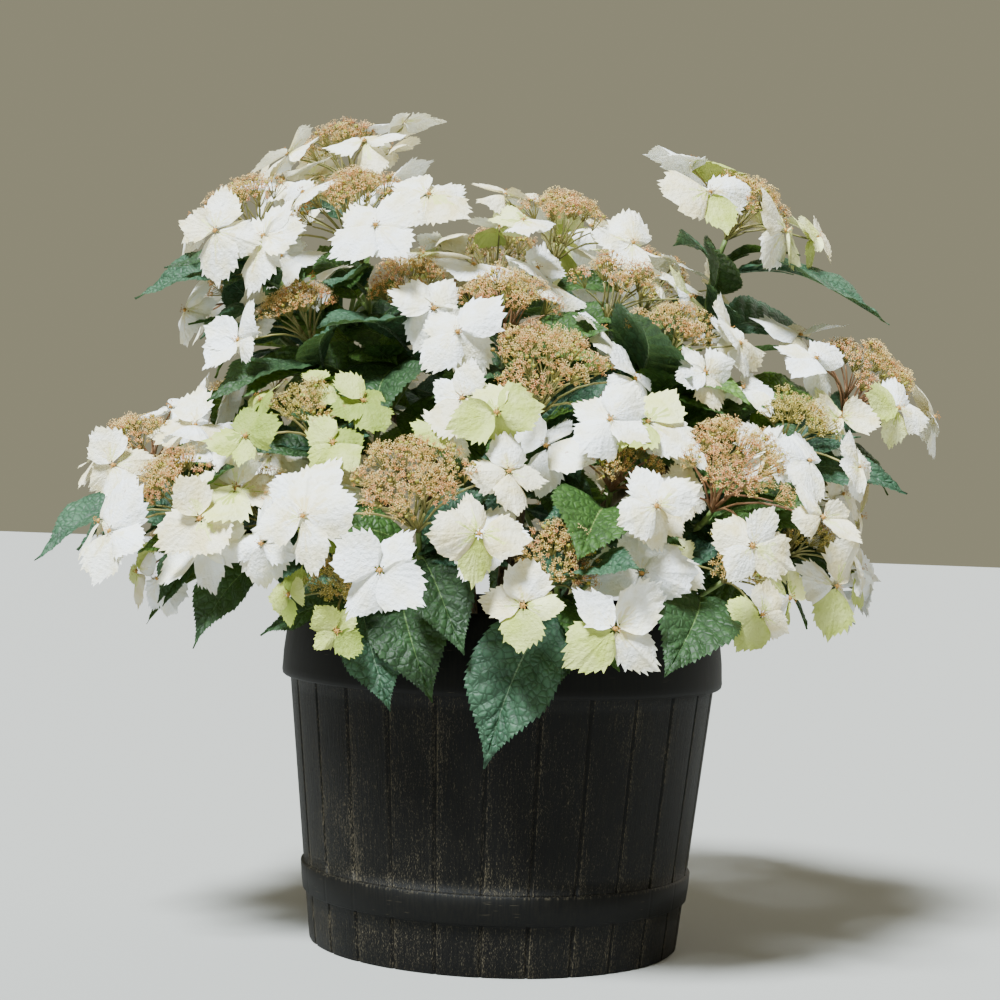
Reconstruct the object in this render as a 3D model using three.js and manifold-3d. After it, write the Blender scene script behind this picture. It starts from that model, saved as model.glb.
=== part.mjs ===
// A lacecap hydrangea growing in a half-barrel planter. Millimetres, +Z up.
// The origin is the middle of the planter's flat underside. The plant's best side, its front, faces -Y.
// A place on the plant is told as a gardener would: its bearing round the planter in degrees, 0 at the
// front and positive to the right, its reach out from the planter's middle, and its height above ground.
import * as THREE from "three";
import { mergeVertices } from "three/addons/utils/BufferGeometryUtils.js";
import Module from "manifold-3d";

const wasm = await Module();
wasm.setup();

// Driving dimensions of the planter, one plastic moulding that imitates half a barrel.
const PLANTER = {
  height: 275,
  footRadius: 150,
  shoulderRadius: 173, // of the staves, where they end under the rim
  shoulderHeight: 213,
  staves: 27,
  firstGroove: -3.6, // the bearing of one groove between two staves, in degrees
  grooveDepth: 1.6,
  grooveWidth: 3.4,
  hoopFrom: 40,
  hoopTo: 63,
  hoopProud: 2.6,
  rimBead: 4, // how high the rim's lower edge is rounded
  rimRadius: 180,
  mouthRadius: 171.5, // outside the lip, at the very top
  innerMouthRadius: 167.5,
  innerFootRadius: 145.5,
  innerSides: 36,
  floor: 6,
};

// Driving dimensions of the plant.
const CLEAR = 0.3; // between pieces that meet end to end
const ROOM = 0.5; // round a floret or leaf, to every other piece
const WELD = 0.004;
const COMPOST = { level: 246, crown: 9, wallGap: 0.4 }; // crown: rise from its edge to its middle
// Stems that carry low heads leave the compost further out than those that carry high ones, and all of
// them pass well over the rim.
const STEM = {
  lowReach: 64,
  highReach: 27,
  footRadius: 6.2,
  tipRadius: 3.4,
  sides: 5,
  steps: 6,
  overRim: 35,
};
// Where a stem ends, as shares of the way out and up to the middle of its heads, and how high it bends.
const STEM_END = { out: 0.42, up: 0.62, knee: 0.7 };
// A stem's first twig grows on from its tip, and forks are the shares of it where the others leave.
const TWIG = {
  radius: 3.2,
  sideRadius: 2.7,
  tipRadius: 2.4,
  sides: 3,
  steps: 4,
  forks: [0, 0.13, 0.21, 0.36],
};
// How a twig arrives at its head: how much straight there, how much the way the head faces, and how much up.
const ARRIVAL = { straight: 0.5, facing: 0.75, up: 0.15, pull: 0.4 };
// A head's stalk is sunk in its hub, where the rays part. They open at the mouth, in ridges and furrows, to
// the rim that the dome of lace stands on. Depths, radii and the dome's rise are shares of the lace's
// radius, and the stalk's two values are lengths. A floret's own stalk is rooted inside the dome.
const HEAD = {
  stalk: 20,
  stalkInHub: 4,
  sides: 6,
  hubDepth: 0.78,
  hubRadius: 0.07,
  mouthDepth: 0.36,
  ridge: 0.5,
  furrow: 0.18,
  rimDepth: 0.08,
  rimRadius: 0.95,
  domeRise: 0.32,
  domeTop: 0.5,
  rootDepth: 0.05,
  rootReach: 0.45,
  unevenRadius: 0.1,
  unevenLift: 0.03,
};
const FRONT_LIGHT = 0.55; // how far the light at the plant's best side turns the heads there
// Notch and shoulder are where two sepals part and where one is broadest, as shares of the floret's radius,
// and lifts are how far every other sepal stands forward or back.
const FLORET = {
  small: 25,
  large: 37,
  thick: 2.6,
  notch: 0.63,
  shoulder: 0.97,
  shoulderAngle: 26,
  lifts: [0.06, -0.1],
  stalk: 1.5,
};
// Where a floret sits and faces: its reach past the lace as a share of its radius, its lift off the lace's
// level, and how far it opens outward, turns to the light and tilts to one side. The florets of a head
// stand at even turns from the first one, which is at from, but for some slack, and step is a try's turn.
const POSE = {
  past: [0.45, 0.75],
  lift: [-8, 3],
  stagger: 5,
  open: [0.3, 0.85],
  light: 0.4,
  tilt: 0.4,
  from: 0.4,
  slack: 0.15,
  step: 0.16,
};
// A leaf's sections are its foot, where it is widest, and one nearer its tip: how far along the leaf, and
// the half width and thickness there. Pairs are the shares of a twig where it bears two leaves.
const LEAF = {
  short: 92,
  long: 122,
  width: 0.5,
  fold: 0.12,
  footWidth: 0.9,
  footThick: 1.4,
  widest: 0.42,
  thick: 3.2,
  second: 0.72,
  secondWidth: 0.68,
  secondThick: 0.8,
  pairs: [0.85, 0.4],
};
// Where a leaf with no room grows on the next try: lower down its twig where its tip has a set place, and
// otherwise turned on by so many degrees and that much shorter.
const RETRY = { setShare: 0.95, lower: 0.07, wander: 15, turn: 19, shorter: 0.035 };
// How a leaf leaves its twig: how far ahead, out and down, the last from low to high on the plant.
const LEAVING = { ahead: 0.4, out: 0.35, lowDroop: 0.5, highDroop: 0.15, facesLight: 0.9 };
// Between these two heights the plant changes from low, hanging growth to high, upright growth.
const LOW = 300;
const HIGH = 550;
const TRIES = 10;

// The stems, each with the flower heads that it carries. A head is its bearing, reach and height, how far
// it leans out from facing straight up, the radius of its lace of tiny fertile flowers, how many showy
// florets ring it, and their size as a share of a full-grown one. leafTips are the leaves that stand out
// of the crown or hang over the rim: the head whose twig bears the leaf, then where its tip reaches.
const STEMS = [
  {
    name: "top_left",
    heads: [
      [-70, 146, 588, 24, 58, 5, 1.04],
      [-80, 224, 586, 32, 42, 4, 1],
      [-99, 236, 535, 39, 37, 4, 0.95],
    ],
    leafTips: [[0, -52, 180, 520], [1, -80, 286, 535]],
  },
  {
    name: "left",
    heads: [
      [-65, 187, 502, 33, 38, 5, 1],
      [-50, 112, 524, 28, 41, 4, 1],
      [-44, 223, 420, 37, 32, 5, 0.7],
    ],
    leafTips: [[1, -41, 225, 483], [0, -60, 268, 426], [1, -30, 205, 405]],
  },
  {
    name: "low_left",
    heads: [
      [-77, 302, 396, 33, 37, 4, 1.04],
      [-62, 290, 362, 39, 41, 5, 1.06],
      [-52, 240, 352, 44, 37, 4, 1],
      [-86, 268, 322, 50, 30, 5, 0.95],
    ],
    leafTips: [[0, -75, 380, 300], [1, -63, 296, 272], [2, -57, 279, 240]],
  },
  {
    name: "front_left",
    heads: [
      [-17, 240, 366, 44, 56, 6, 1.06],
      [-31, 240, 296, 59, 26, 4, 0.7],
    ],
    leafTips: [[1, -21, 226, 204], [1, -13, 224, 212], [0, -7, 234, 248], [0, -36, 262, 334]],
  },
  {
    name: "front_right",
    heads: [
      [9, 240, 318, 53, 38, 5, 1.06],
      [25, 190, 392, 41, 38, 5, 1],
      [44, 244, 318, 56, 30, 5, 0.95],
    ],
    leafTips: [[0, -3, 222, 166], [0, 9, 224, 222], [2, 23, 288, 240], [1, 10, 282, 321]],
  },
  {
    name: "middle",
    heads: [
      [-5, 94, 514, 29, 47, 6, 1],
      [8, 156, 460, 36, 56, 5, 1.05],
      [66, 40, 588, 18, 44, 4, 1],
    ],
    leafTips: [[1, 38, 142, 465]],
  },
  {
    name: "right",
    heads: [
      [57, 96, 535, 24, 40, 4, 1],
      [50, 162, 494, 33, 37, 4, 1],
      [39, 256, 388, 45, 56, 6, 1.04],
      [72, 246, 340, 48, 32, 5, 1],
    ],
    leafTips: [[0, 25, 210, 502], [3, 84, 285, 270]],
  },
  {
    name: "top_right",
    heads: [
      [90, 186, 610, 30, 43, 5, 1.05],
      [85, 288, 470, 32, 50, 5, 1.02],
      [62, 250, 425, 41, 38, 4, 1],
    ],
    leafTips: [[0, 84, 304, 513]],
  },
  {
    name: "back_left",
    heads: [
      [-118, 268, 440, 35, 46, 6, 1.04],
      [-112, 164, 650, 20, 44, 6, 1],
      [-140, 280, 350, 47, 42, 6, 1.04],
      [-103, 258, 348, 47, 34, 5, 1],
    ],
    leafTips: [[2, -150, 300, 230]],
  },
  {
    name: "back",
    heads: [
      [-172, 132, 572, 22, 46, 6, 1.04],
      [-168, 250, 452, 36, 48, 7, 1.04],
      [168, 262, 345, 50, 42, 6, 1.04],
    ],
    leafTips: [[2, 178, 240, 200]],
  },
  {
    name: "back_right",
    heads: [
      [134, 168, 556, 24, 42, 6, 1],
      [143, 266, 425, 39, 46, 6, 1.04],
      [112, 276, 395, 40, 42, 6, 1],
      [94, 262, 330, 50, 30, 5, 0.95],
    ],
    leafTips: [[2, 118, 340, 300]],
  },
];

const rad = THREE.MathUtils.degToRad;
const UP = new THREE.Vector3(0, 0, 1);
const mix = (a, b, share) => a + (b - a) * share;
const { clamp } = THREE.MathUtils;

// The plant's own dice, so that it grows the same each time: the minimal standard generator, started
// from a few whole numbers that say what is being grown.
class Dice {
  constructor(...numbers) {
    const seed = numbers.reduce((total, number) => (total * 73 + number + 1) % 2147483646, 1);
    this.state = ((seed * 69621) % 2147483646) + 1;
  }
  roll(low, high) {
    this.state = (this.state * 16807) % 2147483647;
    return mix(low, high, this.state / 2147483647);
  }
}

// Tries go 0, then one step on, one back, two on, two back, and so on.
const zigzag = (tries) => (tries % 2 ? 1 : -1) * Math.ceil(tries / 2);

// The outward horizontal direction on a bearing, and the place at a bearing, reach and height.
const outward = (bearing) => new THREE.Vector3(Math.sin(rad(bearing)), -Math.cos(rad(bearing)), 0);
const place = (bearing, reach, height) => outward(bearing).multiplyScalar(reach).setZ(height);
const sum = (start, ...steps) =>
  steps.reduce((point, [direction, length]) => point.addScaledVector(direction, length), start.clone());

function geometryOf(points, faces) {
  const positions = new Float32Array(points.flatMap((p) => [p.x, p.y, p.z]));
  return new THREE.BufferGeometry()
    .setAttribute("position", new THREE.BufferAttribute(positions, 3))
    .setIndex(faces.flat());
}

// A closed geometry as a solid that can be joined and cut.
function solidOf(geometry) {
  const bare = geometry.clone();
  bare.deleteAttribute("normal");
  bare.deleteAttribute("uv");
  const merged = mergeVertices(bare, 1e-4);
  return new wasm.Manifold(
    new wasm.Mesh({
      numProp: 3,
      vertProperties: new Float32Array(merged.attributes.position.array),
      triVerts: new Uint32Array(merged.index.array),
    }),
  );
}

// A solid back as a geometry. Corners that a join left closer than WELD are made one.
function geometryFrom(solid) {
  const mesh = solid.getMesh();
  const positions = new Float32Array(mesh.numVert * 3);
  for (let i = 0; i < mesh.numVert; i++) {
    positions.set(mesh.vertProperties.subarray(i * mesh.numProp, i * mesh.numProp + 3), i * 3);
  }
  const geometry = new THREE.BufferGeometry()
    .setAttribute("position", new THREE.BufferAttribute(positions, 3))
    .setIndex(new THREE.BufferAttribute(mesh.triVerts, 1));
  const welded = mergeVertices(geometry, WELD);
  const corners = welded.index.array;
  const faces = [];
  for (let i = 0; i < corners.length; i += 3) {
    const [a, b, c] = corners.subarray(i, i + 3);
    if (a !== b && b !== c && c !== a) {
      faces.push(a, b, c);
    }
  }
  welded.setIndex(faces);
  welded.computeVertexNormals();
  return welded;
}

// Rings of points, each ring joined to the next, with both ends capped. The last may be a single point.
function lofted(rings) {
  const sides = rings[0].length;
  const faces = [];
  for (let row = 0; row + 1 < rings.length; row++) {
    for (let i = 0; i < sides; i++) {
      const next = (i + 1) % sides;
      const [a, b, above] = [row * sides + i, row * sides + next, (row + 1) * sides];
      if (rings[row + 1].length === 1) {
        faces.push([a, b, above]);
      } else {
        faces.push([a, b, above + next], [a, above + next, above + i]);
      }
    }
  }
  const last = (rings.length - 1) * sides;
  for (let i = 1; i + 1 < sides; i++) {
    faces.push([0, i + 1, i]);
    if (rings.at(-1).length > 1) {
      faces.push([last, last + i, last + i + 1]);
    }
  }
  return geometryOf(rings.flat(), faces);
}

// Two directions square to a normal and to each other, turned about it.
function basisAbout(normal, degrees) {
  const guide = Math.abs(normal.z) < 0.9 ? UP : new THREE.Vector3(1, 0, 0);
  const across = new THREE.Vector3().crossVectors(guide, normal);
  across.normalize().applyAxisAngle(normal, rad(degrees));
  return [across, new THREE.Vector3().crossVectors(normal, across)];
}

// One tapering limb along a curve, with flat ends. It runs straight from one of its rings to the next.
function limb(curve, startRadius, endRadius, sides, steps) {
  const rings = [];
  let [across] = basisAbout(curve.getTangent(0), 0);
  for (let step = 0; step <= steps; step++) {
    const along = curve.getTangent(step / steps);
    across = sum(across, [along, -across.dot(along)]).normalize();
    const square = new THREE.Vector3().crossVectors(along, across);
    const radius = mix(startRadius, endRadius, step / steps);
    rings.push(
      Array.from({ length: sides }, (_, i) => {
        const turn = (2 * Math.PI * i) / sides;
        return sum(
          curve.getPoint(step / steps),
          [across, radius * Math.cos(turn)],
          [square, radius * Math.sin(turn)],
        );
      }),
    );
  }
  return solidOf(lofted(rings));
}

// How far the planter's inner wall is from its middle at a height.
function innerRadius(height) {
  const { innerFootRadius, innerMouthRadius, floor } = PLANTER;
  return mix(innerFootRadius, innerMouthRadius, (height - floor) / (PLANTER.height - floor));
}

// The planter's outside: rings of points from its underside up to its lip. The rings of the staves keep
// their points in threes, close round each groove.
function planterOutside() {
  const p = PLANTER;
  const step = 360 / p.staves;
  const staveRadius = (height) => mix(p.footRadius, p.shoulderRadius, height / p.shoulderHeight);
  const ring = (height, radius, grooved) =>
    Array.from({ length: p.staves * 3 }, (_, i) => {
      const side = (i % 3) - 1;
      const spacing = grooved ? THREE.MathUtils.radToDeg(p.grooveWidth / 2 / radius) : step / 3;
      const bearing = p.firstGroove + Math.floor(i / 3) * step + side * spacing;
      const depth = grooved && side === 0 ? p.grooveDepth : 0;
      return place(bearing, radius - depth, height);
    });
  const { hoopFrom, hoopTo, hoopProud, shoulderHeight, rimRadius, rimBead, height } = p;
  return lofted([
    ring(0, p.footRadius, true),
    ring(hoopFrom, staveRadius(hoopFrom), true),
    ring(hoopFrom, staveRadius(hoopFrom) + hoopProud, false),
    ring(hoopTo, staveRadius(hoopTo) + hoopProud, false),
    ring(hoopTo, staveRadius(hoopTo), true),
    ring(shoulderHeight, p.shoulderRadius, true),
    ring(shoulderHeight, rimRadius - rimBead / 2, false),
    ring(shoulderHeight + rimBead, rimRadius, false),
    ring(shoulderHeight + 5 * rimBead, rimRadius - 0.8, false),
    ring(height - 1.5 * rimBead, p.mouthRadius + 1.8, false),
    ring(height, p.mouthRadius, false),
  ]);
}

// Its inside, from the floor to well over the lip, which is cut out of it.
function planterInside() {
  const p = PLANTER;
  const over = 20;
  return new THREE.LatheGeometry(
    [
      new THREE.Vector2(0, p.floor),
      new THREE.Vector2(p.innerFootRadius, p.floor),
      new THREE.Vector2(innerRadius(p.height + over), p.height + over),
      new THREE.Vector2(0, p.height + over),
    ],
    p.innerSides,
  ).rotateX(Math.PI / 2);
}

// The compost fills the planter to below its lip, and rises a little towards the stems.
function compostGeometry() {
  const foot = PLANTER.floor + CLEAR;
  const edge = innerRadius(COMPOST.level) - COMPOST.wallGap;
  return new THREE.LatheGeometry(
    [
      new THREE.Vector2(0, foot),
      new THREE.Vector2(innerRadius(foot) - COMPOST.wallGap, foot),
      new THREE.Vector2(edge, COMPOST.level),
      new THREE.Vector2(edge * 0.8, compostTop(edge * 0.8)),
      new THREE.Vector2(edge * 0.4, compostTop(edge * 0.4)),
      new THREE.Vector2(0, compostTop(0)),
    ],
    PLANTER.innerSides,
  ).rotateX(Math.PI / 2);
}

function compostTop(reach) {
  return COMPOST.level + COMPOST.crown * (1 - (reach / PLANTER.innerMouthRadius) ** 2);
}

// A head's middle, the way it faces, and its hub, where its rays part. It leans to the light: outward, and
// on the front half of the plant also towards the front.
function headPlan([bearing, reach, height, leanDegrees, spread, florets, size], number) {
  const middle = place(bearing, reach, height);
  const lean = rad(leanDegrees);
  const out = outward(bearing);
  const light = sum(out, [outward(0), FRONT_LIGHT * (1 + Math.cos(rad(bearing)))]).normalize();
  const facing = sum(new THREE.Vector3(), [light, Math.sin(lean)], [UP, Math.cos(lean)]);
  const across = new THREE.Vector3().crossVectors(UP, light);
  const rise = new THREE.Vector3().crossVectors(facing, across);
  const hub = sum(middle, [facing, -HEAD.hubDepth * spread]);
  return { number, middle, facing, across, rise, out, light, hub, spread, florets, size };
}

// A stem leaves the compost near the planter's middle, rises, and arches out towards its heads.
function stemPlan(stem, number) {
  const heads = stem.heads.map(headPlan);
  const centre = sum(new THREE.Vector3(), ...heads.map((head) => [head.hub, 1 / heads.length]));
  const flat = centre.clone().setZ(0);
  const height = clamp((centre.z - LOW) / (HIGH - LOW), 0, 1);
  const footReach = mix(STEM.lowReach, STEM.highReach, height);
  const foot = sum(flat.clone().setLength(footReach), [UP, compostTop(footReach) + CLEAR]);
  const rise = mix(foot.z, centre.z, STEM_END.up);
  const tip = sum(foot, [flat, STEM_END.out]).setZ(Math.max(rise, PLANTER.height + STEM.overRim));
  const knee = foot.clone().setZ(mix(foot.z, tip.z, STEM_END.knee));
  const curve = new THREE.QuadraticBezierCurve3(foot, knee, tip);
  return { ...stem, number, heads, curve, tip, along: sum(tip, [knee, -1]).normalize() };
}

// The twigs of a stem. The first grows on from its tip, and the others fork from the first. Each one ends
// where its head's own stalk begins, and arrives there nearly along the way the head faces.
function twigPlans(stem) {
  const plans = [];
  for (const head of stem.heads) {
    const first = plans[0];
    const share = TWIG.forks[head.number];
    const start = first ? onTwig(first, share) : sum(stem.tip, [stem.along, CLEAR]);
    const leaving = first ? alongTwig(first, share) : stem.along;
    const straight = sum(head.hub, [start, -1]).setLength(ARRIVAL.straight);
    const arriving = sum(straight, [head.facing, ARRIVAL.facing], [UP, ARRIVAL.up]).normalize();
    const end = sum(head.hub, [arriving, -HEAD.stalk]);
    const pull = start.distanceTo(end) * ARRIVAL.pull;
    const handles = [sum(start, [leaving, pull]), sum(end, [arriving, -pull])];
    const curve = new THREE.CubicBezierCurve3(start, ...handles, end);
    plans.push({ curve, arriving, end, head });
  }
  return plans;
}

// A place on a twig's middle line, which runs straight from one of its rings to the next, and its way there.
function twigStretch(twig, share) {
  const { steps } = TWIG;
  const step = Math.min(Math.floor(share * steps), steps - 1);
  return [twig.curve.getPoint(step / steps), twig.curve.getPoint((step + 1) / steps), share * steps - step];
}

function onTwig(twig, share) {
  const [from, to, part] = twigStretch(twig, share);
  return from.lerp(to, part);
}

function alongTwig(twig, share) {
  const [from, to] = twigStretch(twig, share);
  return to.sub(from).normalize();
}

// One showy floret in its place round a head: its middle, its stalk's root inside the lace, the way it
// faces and its radius. With each further try it moves round the head.
function floretPlan(stem, head, index, tries) {
  const dice = new Dice(stem.number, head.number, 1, index, tries);
  const seat = index + dice.roll(-POSE.slack, POSE.slack) + POSE.step * zigzag(tries);
  const turn = POSE.from + (seat * 2 * Math.PI) / head.florets;
  const radius = dice.roll(FLORET.small, FLORET.large) * head.size;
  const radial = sum(new THREE.Vector3(), [head.across, Math.cos(turn)], [head.rise, Math.sin(turn)]);
  const middle = sum(
    head.middle,
    [radial, head.spread + radius * dice.roll(...POSE.past)],
    [head.facing, dice.roll(...POSE.lift) + (index % 2) * POSE.stagger],
  );
  const root = sum(
    head.middle,
    [radial, head.spread * HEAD.rootReach],
    [head.facing, -head.spread * HEAD.rootDepth],
  );
  const facing = sum(
    head.facing,
    [radial, dice.roll(...POSE.open)],
    [head.light, POSE.light],
    [head.across, dice.roll(-POSE.tilt, POSE.tilt)],
  ).normalize();
  return { middle, root, facing, radius, spin: dice.roll(0, 90) };
}

// A showy floret: four broad sepals in one thin lens, every other one a little bent back. The lens and
// the stalk under its middle, which tapers to its root inside the lace, are one closed surface.
function floretSolid({ middle, root, facing, radius, spin }) {
  const [u, v] = basisAbout(facing, spin);
  const at = (from, degrees, reach, lift) =>
    sum(from, [u, reach * Math.cos(rad(degrees))], [v, reach * Math.sin(rad(degrees))], [facing, lift]);
  const outline = [];
  for (let sepal = 0; sepal < 4; sepal++) {
    const lift = radius * FLORET.lifts[sepal % 2];
    outline.push(at(middle, sepal * 90 - 45, radius * FLORET.notch, 0));
    outline.push(at(middle, sepal * 90 - FLORET.shoulderAngle, radius * FLORET.shoulder, lift));
    outline.push(at(middle, sepal * 90 + FLORET.shoulderAngle, radius * FLORET.shoulder, lift));
  }
  const under = [0, 1, 2].map((i) => at(middle, i * 120 + 15, FLORET.stalk, -FLORET.thick / 2));
  const around = outline.length;
  const [underAt, rootAt, top] = [around, around + 3, around + 4];
  const faces = [0, 1, 2].map((i) => [rootAt, underAt + ((i + 1) % 3), underAt + i]);
  for (let i = 0; i < around; i++) {
    const [next, third] = [(i + 1) % around, Math.floor((i * 3) / around)];
    faces.push([i, next, top], [next, i, underAt + third]);
    if (i % (around / 3) === 0) {
      faces.push([i, underAt + ((third + 2) % 3), underAt + third]);
    }
  }
  return solidOf(geometryOf([...outline, ...under, root, sum(middle, [facing, FLORET.thick / 2])], faces));
}

// The lace of fertile flowers in the middle of a head: one uneven dome, on a fluted cone that
// stands for the rays, which part at the hub.
function laceSolid(stem, head) {
  const around = HEAD.sides;
  const dice = new Dice(stem.number, head.number, 0);
  const ringAt = (lift, shareAt) =>
    Array.from({ length: around }, (_, i) => {
      const turn = (2 * Math.PI * i) / around;
      const uneven = dice.roll(1 - HEAD.unevenRadius, 1 + HEAD.unevenRadius);
      const radius = head.spread * shareAt(i) * uneven;
      return sum(
        head.middle,
        [head.across, radius * Math.cos(turn)],
        [head.rise, radius * Math.sin(turn)],
        [head.facing, head.spread * (lift + dice.roll(-HEAD.unevenLift, HEAD.unevenLift))],
      );
    });
  return solidOf(
    lofted([
      ringAt(-HEAD.hubDepth, () => HEAD.hubRadius),
      ringAt(-HEAD.mouthDepth, (i) => (i % 2 ? HEAD.furrow : HEAD.ridge)),
      ringAt(-HEAD.rimDepth, () => HEAD.rimRadius),
      ringAt(HEAD.domeRise, () => HEAD.domeTop),
    ]),
  );
}

// A leaf: an ovate blade on a short stalk, folded a little along its midrib and arched to its tip.
function leafSolid({ base, tip, up }) {
  const length = base.distanceTo(tip);
  const half = (length * LEAF.width) / 2;
  const along = sum(tip, [base, -1]).normalize();
  const face = sum(up, [along, -up.dot(along)]).normalize();
  const side = new THREE.Vector3().crossVectors(face, along);
  const spineAt = (share) =>
    sum(base, [along, length * share], [face, length * LEAF.fold * Math.sin(Math.PI * share)]);
  const section = (share, width, thick) => {
    const spine = spineAt(share);
    return [
      sum(spine, [side, -width], [face, width * LEAF.fold]),
      sum(spine, [face, -thick / 2]),
      sum(spine, [side, width], [face, width * LEAF.fold]),
      sum(spine, [face, thick / 2]),
    ];
  };
  return solidOf(
    lofted([
      section(0, LEAF.footWidth, LEAF.footThick),
      section(LEAF.widest, half, LEAF.thick),
      section(LEAF.second, half * LEAF.secondWidth, LEAF.thick * LEAF.secondThick),
      [spineAt(1)],
    ]),
  );
}

// A leaf from a place on a twig, towards where its tip should reach, with its face up and to the light.
function leafTowards(twig, share, tip) {
  return { base: onTwig(twig, share), tip, up: sum(UP, [twig.head.light, LEAVING.facesLight]) };
}

// A leaf that the photograph shows, and so with a set place for its tip. With each further try it grows
// from lower down its twig.
const setLeafPlan = (twig, tip, tries) => leafTowards(twig, RETRY.setShare - RETRY.lower * tries, tip);

// The other leaves grow in pairs on a twig, each pair square to the last, and hang more low on the plant.
// With each further try a leaf turns on round its twig and is a little shorter.
function leafPlan(stem, twig, pair, side, tries) {
  const dice = new Dice(stem.number, twig.head.number, 2, pair * 2 + side, tries);
  const share = LEAF.pairs[pair];
  const base = onTwig(twig, share);
  const along = alongTwig(twig, share);
  const turn = dice.roll(-RETRY.wander, RETRY.wander) + pair * 90 + side * 180 + RETRY.turn * zigzag(tries);
  const [across] = basisAbout(along, turn);
  const { ahead, out, lowDroop, highDroop } = LEAVING;
  const droop = mix(lowDroop, highDroop, clamp((base.z - LOW) / (HIGH - LOW), 0, 1));
  const direction = sum(across, [along, ahead], [twig.head.out, out], [UP, -droop]).normalize();
  const shorter = Math.min(twig.head.size, 1) * (1 - RETRY.shorter * tries);
  const length = dice.roll(LEAF.short, LEAF.long) * shorter;
  return leafTowards(twig, share, sum(base, [direction, length]));
}

// Every solid placed so far, so that a twig, floret or leaf that would touch another piece can be left out.
const placed = [];
const pieces = new Map();

function keep(owner, solid) {
  placed.push({ owner, solid, box: solid.boundingBox() });
  pieces.set(owner, [...(pieces.get(owner) ?? []), solid]);
}

function touches(owner, solid, gap) {
  const box = solid.boundingBox();
  const apart = (other) =>
    [0, 1, 2].some((axis) => box.min[axis] > other.max[axis] + gap || box.max[axis] < other.min[axis] - gap);
  return placed.some(
    (other) => other.owner !== owner && !apart(other.box) && other.solid.minGap(solid, gap * 2) < gap,
  );
}

// Tries plan after plan until one's solid is clear of every other piece and of the others like it.
function growOne(owner, others, solidAt) {
  for (let tries = 0; tries < TRIES; tries++) {
    const solid = solidAt(tries);
    if (!touches(owner, solid, ROOM) && others.every((other) => other.minGap(solid, 2 * ROOM) > ROOM)) {
      keep(owner, solid);
      others.push(solid);
      return;
    }
  }
}

// A limb or a head's lace can't be moved or left out, so one that touches another piece is a fault.
function keepSure(owner, solid) {
  if (touches(owner, solid, CLEAR / 2)) {
    throw new Error(`${owner} touches another piece`);
  }
  keep(owner, solid);
}

const largestBody = (solid) => solid.decompose().sort((a, b) => b.volume() - a.volume())[0];

// One closed body from all the pieces of an owner. A scrap that joins nothing, or that welding the tiny
// edges of the joins pinches off, is dropped.
function fused(owner) {
  const joined = largestBody(wasm.Manifold.union(pieces.get(owner)));
  return geometryFrom(largestBody(solidOf(geometryFrom(joined))));
}

const plant = new THREE.Group();
const material = (color, roughness) => new THREE.MeshStandardMaterial({ color, roughness, metalness: 0 });
const MATERIALS = {
  planter: material("#1c1b19", 0.6),
  compost: material("#2e241b", 1),
  stem: material("#6f7440", 0.8),
  foliage: material("#3b6b3c", 0.65),
  flower: material("#f4f3ea", 0.7),
};

function addNode(name, geometry, kind) {
  const mesh = new THREE.Mesh(geometry, MATERIALS[kind]);
  mesh.name = name;
  plant.add(mesh);
}

const planter = solidOf(planterOutside()).subtract(solidOf(planterInside()));
const compost = solidOf(compostGeometry());
keep("planter", planter);
keep("compost", compost);
addNode("planter", geometryFrom(planter), "planter");
addNode("compost", geometryFrom(compost), "compost");

// First the stems and twigs, then each head's stalk and lace, then the leaves that have a set place,
// then the showy florets, and the other leaves last.
const stems = STEMS.map(stemPlan);
for (const stem of stems) {
  const { footRadius, tipRadius, sides, steps } = STEM;
  keepSure(`stem_${stem.name}`, limb(stem.curve, footRadius, tipRadius, sides, steps));
}
for (const stem of stems) {
  stem.mass = `foliage_${stem.name}`;
  stem.twigs = twigPlans(stem);
  for (const twig of stem.twigs) {
    const radius = twig.head.number ? TWIG.sideRadius : TWIG.radius;
    keepSure(stem.mass, limb(twig.curve, radius, TWIG.tipRadius, TWIG.sides, TWIG.steps));
  }
}
for (const stem of stems) {
  for (const { arriving, end, head } of stem.twigs) {
    head.name = `flower_head_${stem.name}_${head.number + 1}`;
    const foot = sum(end, [arriving, CLEAR]);
    const stalk = new THREE.LineCurve3(foot, sum(head.hub, [head.facing, HEAD.stalkInHub]));
    keepSure(head.name, limb(stalk, TWIG.tipRadius, TWIG.tipRadius, TWIG.sides, 1));
    keepSure(head.name, laceSolid(stem, head));
  }
}
for (const stem of stems) {
  stem.leaves = [];
  for (const [number, bearing, reach, height] of stem.leafTips) {
    const tip = place(bearing, reach, height);
    growOne(stem.mass, stem.leaves, (tries) => leafSolid(setLeafPlan(stem.twigs[number], tip, tries)));
  }
}
for (const stem of stems) {
  for (const head of stem.heads) {
    const florets = [];
    for (let index = 0; index < head.florets; index++) {
      growOne(head.name, florets, (tries) => floretSolid(floretPlan(stem, head, index, tries)));
    }
  }
}
for (const stem of stems) {
  for (const twig of stem.twigs) {
    for (const pair of LEAF.pairs.keys()) {
      for (const side of [0, 1]) {
        growOne(stem.mass, stem.leaves, (tries) => leafSolid(leafPlan(stem, twig, pair, side, tries)));
      }
    }
  }
}

for (const stem of stems) {
  addNode(`stem_${stem.name}`, fused(`stem_${stem.name}`), "stem");
  addNode(stem.mass, fused(stem.mass), "foliage");
  for (const head of stem.heads) {
    addNode(head.name, fused(head.name), "flower");
  }
}

export default plant;
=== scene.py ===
# %% [markdown]
# A lacecap hydrangea in a half-barrel planter.
#
# The CAD frame gives every solid of the shrub, but those solids are plain. Here each gets the surface that
# the eye expects: toothed and pleated petals, quilted leaves, a lace of tiny flowers, bark, and moulded
# staves. Places are worked out in millimetres, and become metres when a mesh is made.

# %% The frame and the tools
from math import ceil, cos, pi, radians, sin, sqrt
from types import SimpleNamespace as Plan

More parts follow.
